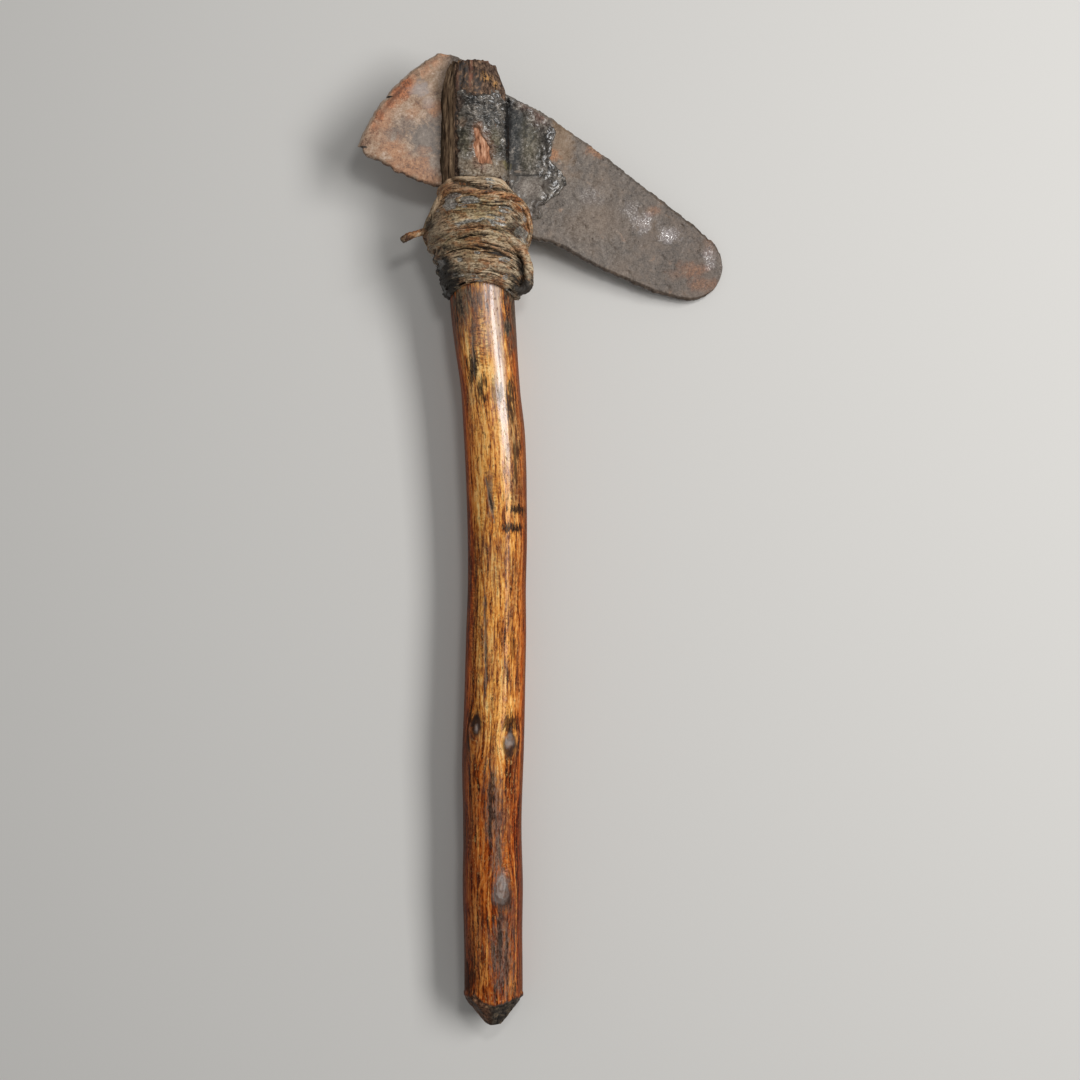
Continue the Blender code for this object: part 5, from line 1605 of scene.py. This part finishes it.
class AxeFibreLook(bpy.types.PropertyGroup):
    """Finish of the lashing."""

    fibre_dark: colour_choice("Dark fibre", "Shaded threads", (92, 77, 59))
    fibre: colour_choice("Fibre", "Commonest colour of the threads", (148, 128, 102))
    fibre_pale: colour_choice("Pale fibre", "Dry threads", (188, 168, 139))
    fibre_depth: share_choice("Thread depth", "Depth of the fine threads, in millimetres", 0.3)


class AxeStageLook(bpy.types.PropertyGroup):
    """Floor and light."""

    floor: colour_choice("Floor", "Colour of the pale floor", (214, 212, 208))
    key_power: bpy.props.FloatProperty(name="Key light", description="Power of the key light", unit="POWER",
                                       min=0.0, default=40.0)
    glint_power: bpy.props.FloatProperty(name="Glint light", description="Power of the small light in front",
                                         unit="POWER", min=0.0, default=1.4)
    sky: share_choice("Sky", "Strength of the even light from all round", 0.24, 4.0)


# Operators


class AXE_OT_haft(bpy.types.Operator):
    """Model the haft with its split head, knots, cracks and chopped butt"""

    bl_idname = "axe.haft"
    bl_label = "Haft"

    def execute(self, context):
        rows = len(rings_of(HAFT_RINGS)) + 1 + len(TOP_SHARES)
        haft = wrapped("haft_wood", HAFT_COLUMNS, rows, haft_surface)
        cut(haft, wrapped("slot_cutter", SLOT_COLUMNS, SLOT_ROWS, slot_surface))
        hang(haft, wood_finish(context.scene.axe_wood), "wood", "haft")
        return {"FINISHED"}


class AXE_OT_blade(bpy.types.Operator):
    """Model the iron plate with its ground end, pits and ragged edges"""

    bl_idname = "axe.blade"
    bl_label = "Blade"

    def execute(self, context):
        blade = wrapped("blade_plate", BLADE_COLUMNS, BLADE_RIBS, blade_surface)
        hang(blade, iron_finish(context.scene.axe_iron), "iron", "blade")
        return {"FINISHED"}


class AXE_OT_gum(bpy.types.Operator):
    """Model the four crusts of gum that hold the blade in the head"""

    bl_idname = "axe.gum"
    bl_label = "Gum"

    def execute(self, context):
        finish = gum_finish(context.scene.axe_gum)
        for name, bed, node in (
            ("cheek_gum_front", cheek_gum(1, 2.3), "gum_front_cheek"),
            ("cheek_gum_back", cheek_gum(-1, 8.1), "gum_back_cheek"),
            ("blade_gum_front", blade_gum(1, 4.9), "gum_front_blade"),
            ("blade_gum_back", blade_gum(-1, 6.2), "gum_back_blade"),
        ):
            piece = wrapped(name, GUM_COLUMNS, GUM_ROWS, lambda u, v, bed=bed: crust(u, v, bed))
            hang(piece, finish, "gum", node)
        return {"FINISHED"}


class AXE_OT_lashing(bpy.types.Operator):
    """Model the wound fibre: its core, windings, arching strand, cut end and knot"""

    bl_idname = "axe.lashing"
    bl_label = "Lashing"

    def execute(self, context):
        finish = fibre_finish(context.scene.axe_fibre)
        core = wrapped("lashing_core", CORE_COLUMNS, CORE_ROWS, core_surface)
        hang(core, finish, "fibre", "binding")
        hang(joined("lashing_turns", lashing_windings()), finish, "fibre")
        arch = []
        for way, level, lift in ARCH:
            turn, height = np.array([math.radians(way)]), np.array([level])
            radius = lashing_radius(turn, height) + lift + 0.2
            arch.append((*around_haft(turn, height, radius)[0], 4.8))
        for name, points, tones, seed, strands, rows, coil, fill in (
            ("lashing_arch", arch, (0.8, 0.2, 0.6), 4.0, 5, 150, 0.14, 0.42),
            ("lashing_cut_end", CUT_END, (0.8, 0.6), 9.0, 3, 60, 0.35, 0.6),
            ("lashing_knot", KNOT, (0.8, 0.5, 0.65), 15.0, 6, 110, 0.35, 0.42),
        ):
            hang(bundle(name, points, tones, seed, strands, rows, coil, fill), finish, "fibre")
        return {"FINISHED"}


FLOOR_SIZE = 12
FLOOR_DROP = 0.0002


def aimed(place, aim):
    """Place and turn, in the row frame, of something at one upright point that looks at another."""
    place, aim = [lay_point(p) for p in (place, aim)]
    turn = (place - aim).to_track_quat("Z", "Y")
    return place, turn.to_euler()


def lay_point(point):
    return REST_TURN @ Vector(point) * MM + Vector(REST_PLACE)


def add_lamp(name, place, aim, size, power):
    location, rotation = aimed(place, aim)
    bpy.ops.object.light_add(type="AREA", location=location, rotation=rotation)
    lamp = bpy.context.active_object
    lamp.name = name
    lamp.data.shape = "RECTANGLE"
    lamp.data.size, lamp.data.size_y = size
    lamp.data.energy = power


def add_camera():
    place = lay_point((CAMERA_AIM[0], CAMERA_AIM[1], CAMERA_DISTANCE))
    bpy.ops.object.camera_add(location=place, rotation=REST_TURN.to_euler())
    camera = bpy.context.active_object
    camera.name = "photo_camera"
    camera.data.angle = 2 * math.atan(CAMERA_HALF_WIDTH / CAMERA_DISTANCE)
    bpy.context.scene.camera = camera


class AXE_OT_stage(bpy.types.Operator):
    """Set the pale floor, the soft light and the camera"""

    bl_idname = "axe.stage"
    bl_label = "Stage"

    def execute(self, context):
        look = context.scene.axe_stage
        bpy.ops.object.select_all(action="DESELECT")
        bpy.ops.mesh.primitive_plane_add(size=FLOOR_SIZE, location=(0, 0, -FLOOR_DROP))
        floor = bpy.context.active_object
        floor.name = "floor"
        floor.data.materials.append(floor_finish(look))
        world = bpy.data.worlds.new("soft_sky")
        context.scene.world = world
        world.use_nodes = True
        world.node_tree.nodes["Background"].inputs["Strength"].default_value = look.sky
        world.node_tree.nodes["Background"].inputs["Color"].default_value = (1.0, 1.0, 1.0, 1.0)
        context.scene.view_settings.view_transform = "Standard"
        lamps = (
            ("key", (1370.0, 600.0, 1720.0), (0.0, 386.0, 0.0), (1.60, 0.55), look.key_power),
            ("glint", (170.0, 640.0, 900.0), (60.0, 400.0, 0.0), (0.14, 0.14), look.glint_power),
        )
        for name, place, aim, size, power in lamps:
            add_lamp(name, place, aim, size, power)
        add_camera()
        return {"FINISHED"}


class AXE_PT_panel(bpy.types.Panel):
    """Lists what the axe is made of"""

    bl_idname = "AXE_PT_panel"
    bl_label = "Hafted axe"
    bl_space_type = "VIEW_3D"
    bl_region_type = "UI"
    bl_category = "Axe"

    def draw(self, context):
        for name, operator in PIECES:
            self.layout.operator(operator.bl_idname)
            look = getattr(context.scene, name)
            for choice in look.bl_rna.properties:
                if choice.identifier not in ("rna_type", "name"):
                    self.layout.prop(look, choice.identifier)


LOOKS = [
    ("axe_wood", AxeWoodLook), ("axe_iron", AxeIronLook), ("axe_gum", AxeGumLook),
    ("axe_fibre", AxeFibreLook), ("axe_stage", AxeStageLook),
]
PIECES = [
    ("axe_wood", AXE_OT_haft), ("axe_iron", AXE_OT_blade), ("axe_gum", AXE_OT_gum),
    ("axe_fibre", AXE_OT_lashing), ("axe_stage", AXE_OT_stage),
]


def register():
    for name, look in LOOKS:
        bpy.utils.register_class(look)
        setattr(bpy.types.Scene, name, bpy.props.PointerProperty(type=look))
    for _, operator in PIECES:
        bpy.utils.register_class(operator)
    bpy.utils.register_class(AXE_PT_panel)


def unregister():
    bpy.utils.unregister_class(AXE_PT_panel)
    for _, operator in reversed(PIECES):
        bpy.utils.unregister_class(operator)
    for name, look in reversed(LOOKS):
        delattr(bpy.types.Scene, name)
        bpy.utils.unregister_class(look)


def main():
    register()
    bpy.ops.axe.haft()
    bpy.ops.axe.blade()
    bpy.ops.axe.gum()
    bpy.ops.axe.lashing()
    bpy.ops.axe.stage()


if __name__ == "__main__":
    main()
